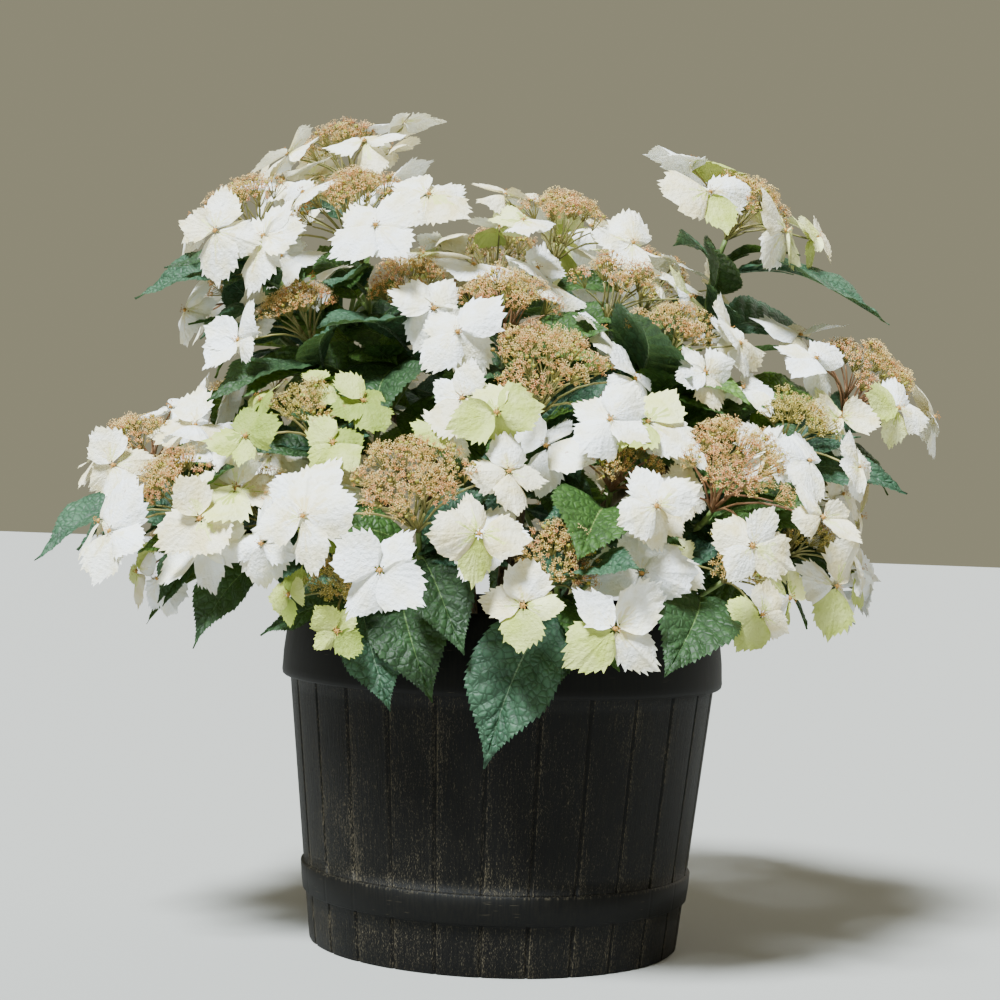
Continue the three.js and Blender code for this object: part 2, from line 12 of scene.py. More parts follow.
import bpy
import numpy as np
from mathutils import Matrix, Vector


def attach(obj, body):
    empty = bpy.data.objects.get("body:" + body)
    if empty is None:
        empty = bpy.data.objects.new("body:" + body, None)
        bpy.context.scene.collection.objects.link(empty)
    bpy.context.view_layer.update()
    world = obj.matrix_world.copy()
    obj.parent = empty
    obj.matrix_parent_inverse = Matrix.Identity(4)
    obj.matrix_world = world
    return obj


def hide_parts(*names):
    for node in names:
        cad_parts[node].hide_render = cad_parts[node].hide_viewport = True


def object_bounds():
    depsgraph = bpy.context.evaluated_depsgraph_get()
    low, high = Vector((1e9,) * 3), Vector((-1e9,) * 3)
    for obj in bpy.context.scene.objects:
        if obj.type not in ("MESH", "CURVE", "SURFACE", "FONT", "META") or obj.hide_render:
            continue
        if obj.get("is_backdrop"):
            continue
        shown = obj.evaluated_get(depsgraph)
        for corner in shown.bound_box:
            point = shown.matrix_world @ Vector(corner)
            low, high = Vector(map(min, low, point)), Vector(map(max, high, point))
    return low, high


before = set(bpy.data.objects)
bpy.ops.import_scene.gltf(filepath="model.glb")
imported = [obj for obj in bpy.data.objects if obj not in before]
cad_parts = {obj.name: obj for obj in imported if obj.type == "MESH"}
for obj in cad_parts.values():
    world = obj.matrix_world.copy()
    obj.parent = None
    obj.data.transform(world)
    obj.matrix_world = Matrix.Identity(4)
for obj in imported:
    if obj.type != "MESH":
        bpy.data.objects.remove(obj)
cad_box = [list(corner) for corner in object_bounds()]
MM = 0.001
print("CAD box in metres:", [[round(x, 4) for x in corner] for corner in cad_box])

# %% [markdown]
# Growth starts with a little vector maths, and with dice. No two leaves are the same, yet each run has to
# give the same plant, so the dice are a simple generator, started from whole numbers that say what is
# grown: the stem, the head, the leaf. The frame's source uses the same dice.

# %% Vectors and dice
UP = np.array((0.0, 0.0, 1.0))
FRONT_LIGHT = 0.55


def mix(a, b, share):
    return a + (b - a) * share


def clamp(values):
    return np.clip(values, 0, 1)


def unit(vector):
    return vector / np.linalg.norm(vector)


def units(vectors):
    return vectors / np.linalg.norm(vectors, axis=-1)[..., None]


def swing(a, b, turn):
    """One direction turned by an angle towards another that is square to it."""
    return a * cos(turn) + b * sin(turn)


def around(count):
    return np.arange(count) * 2 * pi / count


def outward(bearing):
    return np.array((sin(radians(bearing)), -cos(radians(bearing)), 0.0))


def sunward(bearing):
    """The way to the light: outward, and on the front half of the plant also towards the front."""
    return unit(outward(bearing) + outward(0) * FRONT_LIGHT * (1 + cos(radians(bearing))))


def basis_about(normal, turn):
    """Two directions square to a normal and to each other, turned about it by some degrees."""
    across = unit(np.cross(UP if abs(normal[2]) < 0.9 else (1.0, 0.0, 0.0), normal))
    across = swing(across, np.cross(normal, across), radians(turn))
    return across, np.cross(normal, across)


def bezier(controls, shares):
    """Points on a Bezier curve of any degree, by repeated mixing of its control points."""
    shares = np.atleast_1d(shares)[:, None]
    rows = [np.broadcast_to(point, (len(shares), 3)) for point in controls]
    while len(rows) > 1:
        rows = [mix(a, b, shares) for a, b in zip(rows, rows[1:])]
    return rows[0]


class Dice:
    MOST = 2147483647

    def __init__(self, *numbers):
        seed = 1
        for number in numbers:
            seed = (seed * 73 + number + 1) % (self.MOST - 1)
        self.state = (seed * 69621) % (self.MOST - 1) + 1

    def roll(self, low, high):
        self.state = self.state * 16807 % self.MOST
        return mix(low, high, self.state / self.MOST)

    def chance(self, share):
        return self.roll(0, 1) < share

    def pick(self, choices):
        return choices[int(self.roll(0, len(choices) - 1e-9))]


# %% [markdown]
# The shrub's plan, which the frame was built from too. A head is its bearing round the planter in degrees,
# 0 at the front and positive to the right, its reach out from the middle, its height, its lean outwards,
# the radius of its lace, its number of showy florets and their size. Then come the leaves that hang over the
# rim or stand out of the crown: which head's twig bears the leaf, and its tip's bearing, reach and height.

# %% The stems and their heads
STEMS = {
    "top_left": (
        [(-70, 146, 588, 24, 58, 5, 1.04), (-80, 224, 586, 32, 42, 4, 1), (-99, 236, 535, 39, 37, 4, 0.95)],
        [(0, -52, 180, 520), (1, -80, 286, 535)]),
    "left": (
        [(-65, 187, 502, 33, 38, 5, 1), (-50, 112, 524, 28, 41, 4, 1), (-44, 223, 420, 37, 32, 5, 0.7)],
        [(1, -41, 225, 483), (0, -60, 268, 426), (1, -30, 205, 405)]),
    "low_left": (
        [(-77, 302, 396, 33, 37, 4, 1.04), (-62, 290, 362, 39, 41, 5, 1.06), (-52, 240, 352, 44, 37, 4, 1),
         (-86, 268, 322, 50, 30, 5, 0.95)],
        [(0, -75, 380, 300), (1, -63, 296, 272), (2, -57, 279, 240)]),
    "front_left": (
        [(-17, 240, 366, 44, 56, 6, 1.06), (-31, 240, 296, 59, 26, 4, 0.7)],
        [(1, -21, 226, 204), (1, -13, 224, 212), (0, -7, 234, 248), (0, -36, 262, 334)]),
    "front_right": (
        [(9, 240, 318, 53, 38, 5, 1.06), (25, 190, 392, 41, 38, 5, 1), (44, 244, 318, 56, 30, 5, 0.95)],
        [(0, -3, 222, 166), (0, 9, 224, 222), (2, 23, 288, 240), (1, 10, 282, 321)]),
    "middle": (
        [(-5, 94, 514, 29, 47, 6, 1), (8, 156, 460, 36, 56, 5, 1.05), (66, 40, 588, 18, 44, 4, 1)],
        [(1, 38, 142, 465)]),
    "right": (
        [(57, 96, 535, 24, 40, 4, 1), (50, 162, 494, 33, 37, 4, 1), (39, 256, 388, 45, 56, 6, 1.04),
         (72, 246, 340, 48, 32, 5, 1)],
        [(0, 25, 210, 502), (3, 84, 285, 270)]),
    "top_right": (
        [(90, 186, 610, 30, 43, 5, 1.05), (85, 288, 470, 32, 50, 5, 1.02), (62, 250, 425, 41, 38, 4, 1)],
        [(0, 84, 304, 513)]),
    "back_left": (
        [(-118, 268, 440, 35, 46, 6, 1.04), (-112, 164, 650, 20, 44, 6, 1), (-140, 280, 350, 47, 42, 6, 1.04),
         (-103, 258, 348, 47, 34, 5, 1)],
        [(2, -150, 300, 230)]),
    "back": (
        [(-172, 132, 572, 22, 46, 6, 1.04), (-168, 250, 452, 36, 48, 7, 1.04),
         (168, 262, 345, 50, 42, 6, 1.04)],
        [(2, 178, 240, 200)]),
    "back_right": (
        [(134, 168, 556, 24, 42, 6, 1), (143, 266, 425, 39, 46, 6, 1.04), (112, 276, 395, 40, 42, 6, 1),
         (94, 262, 330, 50, 30, 5, 0.95)],
        [(2, 118, 340, 300)]),
}

# %% [markdown]
# A stem arches out of the compost towards its heads. Its first twig grows on from its tip, the others fork
# from the first, and each arrives at its head nearly along the way that the head faces. In the frame a twig
# runs straight between five points of its curve, so that is where leaves start.

# %% Stems, twigs and heads
LOW, HIGH = 300, 550  # between these heights growth changes from low and hanging to high and upright
COMPOST_LEVEL, COMPOST_CROWN = 246, 9
INNER_FOOT, MOUTH_RADIUS, FLOOR_HEIGHT, RIM_HEIGHT = 145.5, 167.5, 6, 275
STEM_FOOT_REACH = (64, 27)
STEM_FOOT, STEM_TIP = 6.2, 3.4
TWIG_FOOT, SIDE_TWIG_FOOT, TWIG_TIP = 3.2, 2.7, 2.4
TWIG_STEPS = 4
FORKS = (0, 0.13, 0.21, 0.36)
HEAD_STALK, HUB_DEPTH = 20, 0.78


def compost_top(reach):
    return COMPOST_LEVEL + COMPOST_CROWN * (1 - (reach / MOUTH_RADIUS) ** 2)


def upright(height):
    return clamp((height - LOW) / (HIGH - LOW))


def head_plan(number, bearing, reach, height, lean, spread, florets, size):
    out, light = outward(bearing), sunward(bearing)
    middle, facing = out * reach + UP * height, swing(UP, light, radians(lean))
    across = np.cross(UP, light)
    return Plan(
        number=number, middle=middle, facing=facing, across=across, rise=np.cross(facing, across), out=out,
        light=light, hub=middle - facing * HUB_DEPTH * spread, spread=spread, florets=florets, size=size,
    )


def on_steps(twig, share):
    """A place on the straight steps of a twig, and the way that its step runs."""
    step = min(int(share * TWIG_STEPS), TWIG_STEPS - 1)
    start, end = bezier(twig.controls, np.array((step, step + 1)) / TWIG_STEPS)
    return mix(start, end, share * TWIG_STEPS - step), unit(end - start)


def twig_plans(heads, tip, along):
    twigs = []
    for head in heads:
        start, leaving = on_steps(twigs[0], FORKS[head.number]) if twigs else (tip + along * 0.3, along)
        arriving = unit(unit(head.hub - start) * 0.5 + head.facing * 0.75 + UP * 0.15)
        end = head.hub - arriving * HEAD_STALK
        pull = np.linalg.norm(end - start) * 0.4
        controls = (start, start + leaving * pull, end - arriving * pull, end)
        twigs.append(Plan(controls=controls, arriving=arriving, head=head))
    return twigs


def stem_plan(number, name):
    heads = [head_plan(i, *numbers) for i, numbers in enumerate(STEMS[name][0])]
    centre = sum(head.hub for head in heads) / len(heads)
    flat = centre * (1, 1, 0)
    foot_reach = mix(*STEM_FOOT_REACH, upright(centre[2]))
    foot = unit(flat) * foot_reach + UP * (compost_top(foot_reach) + 0.3)
    tip = foot + flat * 0.42
    tip[2] = max(mix(foot[2], centre[2], 0.62), RIM_HEIGHT + 35)
    knee = foot * (1, 1, 0) + UP * mix(foot[2], tip[2], 0.7)
    twigs = twig_plans(heads, tip, unit(tip - knee))
    return Plan(number=number, name=name, heads=heads, controls=(foot, knee, tip), twigs=twigs)


stems = [stem_plan(number, name) for number, name in enumerate(STEMS)]
print(len(stems), "stems carry", sum(len(stem.heads) for stem in stems), "flower heads")

# %% [markdown]
# Where each showy floret and each leaf grew. The frame's source tried up to ten plans for each, until one
# was clear of its neighbours. The same plans are made here, in the same order, and the one whose corners are
# among those of the frame's solid is the one that grew.

# %% The florets' plans
TRIES = 10
FLORET_REACH = (25, 37)
# The corners of a plain sepal: degrees from its middle, share of the radius, and whether it is lifted.
SEPAL_CORNERS = ((-45, 0.63, 0), (-26, 0.97, 1), (26, 0.97, 1))


def zigzag(tries):
    return (1 if tries % 2 else -1) * ceil(tries / 2)


def floret_plan(stem, head, index, tries):
    dice = Dice(stem.number, head.number, 1, index, tries)
    turn = (index + dice.roll(-0.15, 0.15) + 0.16 * zigzag(tries)) * 2 * pi / head.florets + 0.4
    radius = dice.roll(*FLORET_REACH) * head.size
    radial = swing(head.across, head.rise, turn)
    out = head.spread + radius * dice.roll(0.45, 0.75)
    middle = head.middle + radial * out + head.facing * (dice.roll(-8, 3) + index % 2 * 5)
    root = head.middle + radial * head.spread * 0.45 - head.facing * head.spread * 0.05
    facing = head.facing + radial * dice.roll(0.3, 0.85) + head.light * 0.4
    facing = unit(facing + head.across * dice.roll(-0.4, 0.4))
    return Plan(middle=middle, root=root, facing=facing, radius=radius, spin=dice.roll(0, 90))


def floret_corners(plan):
    u, v = basis_about(plan.facing, plan.spin)
    corners = [plan.middle + plan.facing * 1.3]
    for sepal in range(4):
        lift = plan.radius * (-0.1 if sepal % 2 else 0.06)
        for angle, reach, lifted in SEPAL_CORNERS:
            flat = swing(u, v, radians(sepal * 90 + angle))
            corners.append(plan.middle + flat * plan.radius * reach + plan.facing * lift * lifted)
    return corners


# %% The leaves' plans
LEAF_WIDTH, LEAF_FOLD = 0.5, 0.12  # shares of a leaf's length: its width, and how high it arches
PAIR_SHARES = (0.85, 0.4)


def leaf_towards(twig, share, tip):
    return Plan(base=on_steps(twig, share)[0], tip=tip, up=UP + twig.head.light * 0.9, twig=twig, share=share)


def set_leaf_plan(twig, tip, tries):
    return leaf_towards(twig, 0.95 - 0.07 * tries, tip)


def leaf_plan(stem, twig, share, number, turn, tries):
    dice = Dice(stem.number, twig.head.number, 2, number, tries)
    base, along = on_steps(twig, share)
    across, _ = basis_about(along, dice.roll(-15, 15) + turn + 19 * zigzag(tries))
    direction = unit(across + along * 0.4 + twig.head.out * 0.35 - UP * mix(0.5, 0.15, upright(base[2])))
    length = dice.roll(92, 122) * min(twig.head.size, 1) * (1 - 0.035 * tries)
    return leaf_towards(twig, share, base + direction * length)


def leaf_axes(plan):
    length = np.linalg.norm(plan.tip - plan.base)
    along = (plan.tip - plan.base) / length
    face = unit(plan.up - along * np.dot(plan.up, along))
    return length, along, face, np.cross(face, along)


def leaf_corners(plan):
    length, along, face, side = leaf_axes(plan)
    corners = [plan.tip]
    for share, breadth, thick in ((0.42, 1, 3.2), (0.72, 0.68, 2.56)):
        half = length * LEAF_WIDTH / 2 * breadth
        spine = plan.base + along * length * share + face * length * LEAF_FOLD * sin(pi * share)
        raised = face * half * LEAF_FOLD
        corners += [spine - side * half + raised, spine + side * half + raised]
        corners += [spine - face * thick / 2, spine + face * thick / 2]
    return corners


# %% Finding what grew
MATCH_GAP, MATCHES = 0.05, 5


def corners_in(node):
    return np.array([corner.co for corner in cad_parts[node].data.vertices]) / MM


def first_grown(there, corners_of, plan_of, *given):
    """A list with the plan that grew, or with none."""
    for tries in range(TRIES):
        plan = plan_of(*given, tries)
        gaps = np.linalg.norm(np.array(corners_of(plan))[:, None] - there, axis=-1).min(axis=1)
        if np.sum(gaps < MATCH_GAP) >= MATCHES:
            return [plan]
    return []


for stem in stems:
    there, stem.leaves = corners_in(f"foliage_{stem.name}"), []
    for number, bearing, reach, height in STEMS[stem.name][1]:
        tip = outward(bearing) * reach + UP * height
        stem.leaves += first_grown(there, leaf_corners, set_leaf_plan, stem.twigs[number], tip)
    for twig in stem.twigs:
        for pair, side in np.ndindex(len(PAIR_SHARES), 2):
            given = stem, twig, PAIR_SHARES[pair], pair * 2 + side, pair * 90 + side * 180
            stem.leaves += first_grown(there, leaf_corners, leaf_plan, *given)
    for head in stem.heads:
        head.node = f"flower_head_{stem.name}_{head.number + 1}"
        there, head.grown = corners_in(head.node), []
        for index in range(head.florets):
            head.grown += first_grown(there, floret_corners, floret_plan, stem, head, index)

heads = [head for stem in stems for head in stem.heads]
florets = [floret for head in heads for floret in head.grown]
print(sum(len(stem.leaves) for stem in stems), "leaves and", len(florets), "florets found in the frame")

# %% [markdown]
# Finishes are written as sums, because a net of shader nodes is hard to read in a script. A socket is
# wrapped in a small class whose plus, minus and times add Math nodes, and a finish has one method that adds
# any other node and sets it. Colours are six hexadecimal digits, made linear for the shader.

# %% Sockets that can be added up, and finishes
def sums(operation):
    """Two methods that feed a Math node: the socket comes first in one and second in the other."""
    return lambda a, b: a.maths(operation, a, b), lambda a, b: a.maths(operation, b, a)


class Socket:
    __add__, __radd__ = sums("ADD")
    __sub__, __rsub__ = sums("SUBTRACT")
    __mul__, __rmul__ = sums("MULTIPLY")

    def __init__(self, finish, socket):
        self.finish, self.socket = finish, socket

    def maths(self, operation, *values):
        return self.finish.node("Math", dict(enumerate(values)), operation=operation)

    def step(self, low, high):
        """0 up to low, 1 from high on, and smooth between them."""
        sockets = {"Value": self, "From Min": low, "From Max": high}
        return self.finish.node("MapRange", sockets, interpolation_type="SMOOTHSTEP")


def paint(hexadecimal):
    values = [int(hexadecimal[i : i + 2], 16) / 255 for i in (0, 2, 4)]
    return (*(v / 12.92 if v <= 0.04045 else ((v + 0.055) / 1.055) ** 2.4 for v in values), 1.0)


class Finish:
    def __init__(self, name):
        self.material = bpy.data.materials.new(name)
        self.material.use_nodes = True
        self.tree = self.material.node_tree
        self.tree.nodes.clear()

    def node(self, kind, sockets=None, output=0, **settings):
        """Adds a node, sets it, feeds its sockets, and gives one of its outputs."""
        made = self.tree.nodes.new("ShaderNode" + kind)
        for name, value in settings.items():
            setattr(made, name, value)
        for name, value in (sockets or {}).items():
            if isinstance(value, Socket):
                self.tree.links.new(value.socket, made.inputs[name])
            else:
                made.inputs[name].default_value = paint(value) if isinstance(value, str) else value
        return Socket(self, made.outputs[output])

    def places(self, *stretch):
        """Where a point of the piece is, in metres, with each axis stretched."""
        place = self.node("TexCoord", output="Object")
        return self.node("VectorMath", {0: place, 1: stretch or (1, 1, 1)}, operation="MULTIPLY")

    def noise(self, scale, detail, *stretch, roughness=0.5):
        sockets = {"Vector": self.places(*stretch), "Scale": scale, "Detail": detail, "Roughness": roughness}
        return self.node("TexNoise", sockets)

    def blend(self, share, low, high):
        """A mix of two colours. The colour sockets of a Mix node are its seventh and eighth."""
        return self.node("Mix", {0: share, 6: low, 7: high}, output=2, data_type="RGBA")

    def bump(self, height, distance, strength=1.0):
        return self.node("Bump", {"Height": height, "Distance": distance, "Strength": strength})

    def body(self, **sockets):
        return self.node("BsdfPrincipled", {name.replace("_", " "): value for name, value in sockets.items()})

    def surface(self, shader):
        out = self.tree.nodes.new("ShaderNodeOutputMaterial")
        self.tree.links.new(shader.socket, out.inputs["Surface"])
        return self.material

    def solid(self, **sockets):
        return self.surface(self.body(**sockets))

    def thin(self, glow, share, **sockets):
        """A sheet that lets a share of the light through, such as a petal or a leaf."""
        shaders = {1: self.body(**sockets), 2: self.node("BsdfTranslucent", {"Color": glow})}
        return self.surface(self.node("MixShader", {0: share, **shaders}))


# %% [markdown]
# An object for each of thousands of small forms would choke any scene. So a piece is heaped up as arrays of
# points and triangles, with a finish for each triangle, and becomes one mesh. It stands for the solids of
# the frame that it replaces, and rides on the frame's body.

# %% Joined meshes from arrays
def put(name, data):
    """A new object in the scene."""
    made = bpy.data.objects.new(name, data)
    bpy.context.scene.collection.objects.link(made)
    return made


class Heap:
    def __init__(self, name="", slot="", finishes=()):
        self.name, self.slot, self.finishes = name, slot, finishes
        self.points, self.faces, self.paints, self.count = [], [], [], 0

    def add(self, points, faces, finish):
        """Points are in millimetres. The finish is a number in the list of finishes, or one for each face."""
        self.points.append(points)
        self.faces.append(np.asarray(faces) + self.count)
        self.paints.append(np.broadcast_to(finish, len(faces)))
        self.count += len(points)

    def joined(self):
        return [np.concatenate(parts) for parts in (self.points, self.faces, self.paints)]

    def make(self, *replaced):
        points, faces, paints = self.joined()
        used, paints = np.unique(paints, return_inverse=True)
        mesh = bpy.data.meshes.new(self.name)
        mesh.from_pydata(points * MM, [], faces, shade_flat=False)
        mesh.polygons.foreach_set("material_index", paints.astype(np.int32).ravel())
        mesh.update(calc_edges=True)
        mesh.validate()
        for number in used:
            mesh.materials.append(self.finishes[number])
        piece = put(self.name, mesh)
        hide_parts(*replaced)
        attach(piece, "root")
        return len(faces)


def grow(kind, slot, finishes, fill, solid):
    """A piece for each stem, which fill heaps up and which stands for the stem's solids of one kind."""
    triangles = 0
    for stem in stems:
        heap = Heap(f"{kind}_{stem.name}", slot, finishes)
        fill(heap, stem)
        replaced = [head.node for head in stem.heads] if solid == "flower_head" else [f"{solid}_{stem.name}"]
        triangles += heap.make(*replaced)
    print(f"{kind}: {triangles} triangles")


def skin(grid, closed=False):
    """A grid's points and triangles. A closed grid joins the last point of each row to its first."""
    number = np.arange(grid[..., 0].size).reshape(grid.shape[:2])
    here = number if closed else number[:, :-1]
    beside = np.roll(number, -1, axis=1) if closed else number[:, 1:]
    a, b, c, d = (part.ravel() for part in (here[:-1], beside[:-1], beside[1:], here[1:]))
    return grid.reshape(-1, 3), np.concatenate((np.stack((a, b, c), 1), np.stack((a, c, d), 1)))


def fan(ring, middle):
    """Triangles between the points of a ring and one in its middle, all given by their numbers."""
    return np.stack((ring, np.roll(ring, -1), np.full(len(ring), middle)), 1)


def tube(path, radii, sides, relief=0.0):
    """Rings of points along a path, each turned as little as can be from the last, with a cap at both ends.
    relief is added to the radii: a number, or a row for each ring."""
    along = units(np.gradient(path, axis=0))
    across = np.empty_like(along)
    across[0] = basis_about(along[0], 0)[0]
    for i in range(1, len(path)):
        across[i] = unit(across[i - 1] - along[i] * np.dot(across[i - 1], along[i]))
    square = np.cross(along, across)
    turns = around(sides)
    reach = np.broadcast_to(radii, len(path))[:, None] + relief
    rings = path[:, None] + across[:, None] * (reach * np.cos(turns))[..., None]
    rings = rings + square[:, None] * (reach * np.sin(turns))[..., None]
    points, faces = skin(rings, closed=True)
    ring, count = np.arange(sides), len(points)
    ends = fan(ring[::-1], count), fan(ring + count - sides, count + 1)
    return np.concatenate((points, path[:1], path[-1:])), np.concatenate((faces, *ends))


# %% [markdown]
# The planter is one black plastic moulding that imitates half a barrel: 27 staves with a V groove between
# them, a hoop near the foot and a broad rim with a rolled edge. Rings of points give all of it at once, as
# each can have its own radius at the grooves. Each stave stands a hair prouder or shallower than the next.

# %% The planter's shape
PLANTER = Plan(
    staves=27, foot_radius=150, shoulder_radius=173, shoulder=213, groove_depth=1.6, groove_half=1.9,
    first_groove=-3.6, hoop=(40, 63), hoop_proud=2.6, rim_radius=180, lip_radius=171.5, inner_low=236, edge=1,
)
# How high each ring of the hoop is, as a share, and how proud. Then how high each ring of the rim is over
# the shoulder, and how far out from the rim's radius.
HOOP = ((0, 0.6), (1 / 23, 1), (0.5, 1.12), (22 / 23, 1), (1, 0.6))
RIM = ((0, -2.0), (1.2, -0.6), (4, 0), (8, -0.3), (20, -0.8), (36, -2.6), (50, -4.9), (57, -6.3), (60, -7.2))
BESIDE_GROOVE = np.array((-2.6, -1.9, -0.9, 0, 0.9, 1.9, 2.6))


def stave_radius(height):
    return mix(PLANTER.foot_radius, PLANTER.shoulder_radius, height / PLANTER.shoulder)


def inner_radius(height):
    return mix(INNER_FOOT, MOUTH_RADIUS, (height - FLOOR_HEIGHT) / (RIM_HEIGHT - FLOOR_HEIGHT))


def planter_rings():
    """Each ring's height, radius and share of the grooves' depth, from the underside up and over the rim."""
    p, (low, high) = PLANTER, PLANTER.hoop
    rings = [(0.0, p.foot_radius - 8, 1), (0.0, p.foot_radius - p.edge, 1), (p.edge, p.foot_radius, 1)]
    rings += [(height, stave_radius(height), 1) for height in (14, 27, low)]
    hoop = [(mix(low, high, share), p.hoop_proud * proud) for share, proud in HOOP]
    rings += [(height, stave_radius(height) + proud, 0.12) for height, proud in hoop]
    rings += [(height, stave_radius(height), 1) for height in np.linspace(high, p.shoulder, 14)]
    rings += [(p.shoulder + rise, p.rim_radius + reach, 0) for rise, reach in RIM]
    rings += [(RIM_HEIGHT - 0.6, p.lip_radius - 0.6, 0), (RIM_HEIGHT, p.lip_radius - 2, 0)]
    return rings + [(height, inner_radius(height), 0) for height in (RIM_HEIGHT - 0.7, 268, 252, p.inner_low)]


def planter_grid():
    p = PLANTER
    step, near = 2 * pi / p.staves, BESIDE_GROOVE / p.foot_radius
    offsets = np.append(near, np.linspace(near[-1], step + near[0], 8)[1:-1])
    centre_share = clamp(1 - np.abs(offsets) * p.foot_radius / p.groove_half)
    proud = [Dice(7, stave).roll(-0.35, 0.35) for stave in range(p.staves)]
    grid = []
    for height, radius, grooved in planter_rings():
        for stave in range(p.staves):
            bearing = radians(p.first_groove) + stave * step + offsets
            reach = radius - grooved * (p.groove_depth * centre_share - proud[stave] * (offsets > 0))
            x, y = np.sin(bearing) * reach, -np.cos(bearing) * reach
            grid.append(np.stack((x, y, np.full_like(reach, height)), 1))
    return np.array(grid).reshape(-1, p.staves * len(offsets), 3)


# %% [markdown]
# Its finish reads as charred oak: nearly black, with fine upright grain, and a thin gold bronze that was
# brushed over it dry, so that it took only on the high places and beside the grooves. Noise stretched
# upright gives the grain, and a second, broader noise says where the brush pressed harder. A thin gold
# line on the right lip of each groove is a painted highlight, where that edge catches the light.

# %% The planter's finish
def brushed_moulding():
    finish = Finish("black_moulding")
    place = finish.node("TexCoord", output="Object")
    x, y, z = (finish.node("SeparateXYZ", {0: place}, output=axis) for axis in range(3))
    bearing = x.maths("ARCTAN2", x, y * -1.0)
    turn = (bearing - radians(PLANTER.first_groove)) * (PLANTER.staves / (2 * pi)) + 50.0
    past = turn.maths("FRACT", turn)
    # A painted highlight: a thin line just right of each groove, where its lip catches the light.
    lip_highlight = past.step(0.038, 0.05) * (1 - past.step(0.06, 0.075))
    beside_groove = past.step(0.04, 0.06) * (1 - past.step(0.1, 0.24)) + past.step(0.82, 0.95)
    fleck = finish.noise(2300, 2, 1, 1, 0.17, roughness=0.6)
    grain = finish.noise(620, 3, 1, 1, 0.03, roughness=0.7)
    brush = finish.noise(30, 2, 1, 1, 0.45)
    on_staves = z.step(0.0625, 0.064) * (1 - z.step(0.2120, 0.2135)) + (1 - z.step(0.038, 0.040))
    low_down = 1 - z.step(0.064, 0.105)
    # The brush's pressure, with the painted highlight of the groove lips added in, says where the gold took.
    pressed = brush * 0.22 + beside_groove * 0.05 + low_down * 0.025 + lip_highlight * 0.08
    worn_and_lit = (fleck * 0.9 + grain * 0.3 + pressed).step(0.78, 0.94) * on_staves
    dashes = finish.noise(420, 2, 0.16, 0.16, 2.4).step(0.66, 0.74) * brush.step(0.45, 0.62) * (1 - on_staves)
    hoop_edge = z.step(0.0602, 0.0616) * (1 - z.step(0.0628, 0.0642)) * grain.step(0.5, 0.62)
    # The gold is dry-brushed wear together with the painted highlight on the groove lips.
    gold = worn_and_lit * 0.5 + dashes * 0.35 + hoop_edge * 0.3
    base = finish.blend(grain.step(0.35, 0.7), "030303", "0e0d09")
    colour = finish.blend(gold.step(0.0, 1.0), base, "6c6350")
    relief = (grain * 0.7 + fleck * 0.3) * on_staves
    rough = 0.5 + grain * 0.2 + worn_and_lit * 0.1
    return finish.solid(
        Base_Color=colour, Roughness=rough, Specular_IOR_Level=0.16, Normal=finish.bump(relief, 0.0008)
    )


heap = Heap("planter_barrel", "planter", [brushed_moulding()])
grid = planter_grid()
heap.add(*skin(grid, closed=True), 0)
columns = len(grid[0])
heap.add(np.vstack((grid[0], (0, 0, 0))), fan(np.arange(columns)[::-1], columns), 0)
print("planter:", heap.make("planter"), "triangles")

# %% [markdown]
# The compost is a dark, crumbly mix of bark and fibre. A disc with noise would look like a carpet, so real
# crumbs lie on it too: small squashed blocks, each turned its own way.

# %% The compost
CRUMBS, CRUMB_REACH = 420, 158
BLOCK = np.array([(x, y, z) for x in (-1, 1) for y in (-1, 1) for z in (-1, 1)], float)
BLOCK_FACES = np.array([(0, 1, 3), (0, 3, 2), (4, 6, 7), (4, 7, 5), (0, 4, 5), (0, 5, 1),
                        (2, 3, 7), (2, 7, 6), (0, 2, 6), (0, 6, 4), (1, 5, 7), (1, 7, 3)])


def crumbly_finish():
    finish = Finish("crumbly_compost")
    lumps = finish.noise(140, 4)
    fibres = finish.noise(480, 2, 1, 0.3, 1)
    colour = finish.blend(lumps.step(0.3, 0.7), "17100a", "3f2d1f")
    return finish.solid(Base_Color=colour, Roughness=0.95, Normal=finish.bump(lumps + fibres * 0.5, 0.003))


def compost_grid(rings=16, sides=72):
    edge = inner_radius(COMPOST_LEVEL) - 0.4
    reaches = np.concatenate((np.linspace(0.02, 1, rings) * edge, (edge, edge * 0.96)))[:, None]
    x, y = np.sin(around(sides)) * reaches, -np.cos(around(sides)) * reaches
    lumps = np.sin(x * 0.21 + 1) * np.cos(y * 0.17)
    lumps = lumps + 0.6 * np.sin(x * 0.47 - y * 0.39) + 0.4 * np.cos(y * 0.8)
    grid = np.stack((x, y, compost_top(reaches) + lumps * 0.7), -1)
    grid[-2:, :, 2] = [[COMPOST_LEVEL - 14], [COMPOST_LEVEL - 16]]
    return grid


def placed(points, origin, x_axis, y_axis, z_axis):
    return origin + points[:, :1] * x_axis + points[:, 1:2] * y_axis + points[:, 2:] * z_axis


heap = Heap("compost_top", "compost", [crumbly_finish()])
heap.add(*skin(compost_grid(), closed=True), 0)
for number in range(CRUMBS):
    dice = Dice(11, number)
    reach, bearing = CRUMB_REACH * sqrt(dice.roll(0, 1)), dice.roll(-180, 180)
    size = np.array((dice.roll(1.5, 5), dice.roll(1, 2.6), dice.roll(0.8, 1.8)))
    jitter = np.array([[dice.roll(-0.3, 0.3) for _ in range(3)] for _ in range(8)])
    place = outward(bearing) * reach + UP * (compost_top(reach) + 0.6)
    heap.add(placed((BLOCK + jitter) * size, place, *basis_about(UP, dice.roll(0, 360)), UP), BLOCK_FACES, 0)
print("compost:", heap.make("compost"), "triangles")

# %% [markdown]
# The stems are last year's wood: grey-brown, split by fine upright cracks, with a ring where each old pair
# of leaves fell. Moving a tube's points in and out gives relief that shows in the outline too.

# %% The stems
BARK_RINGS, BARK_SIDES = 34, 14


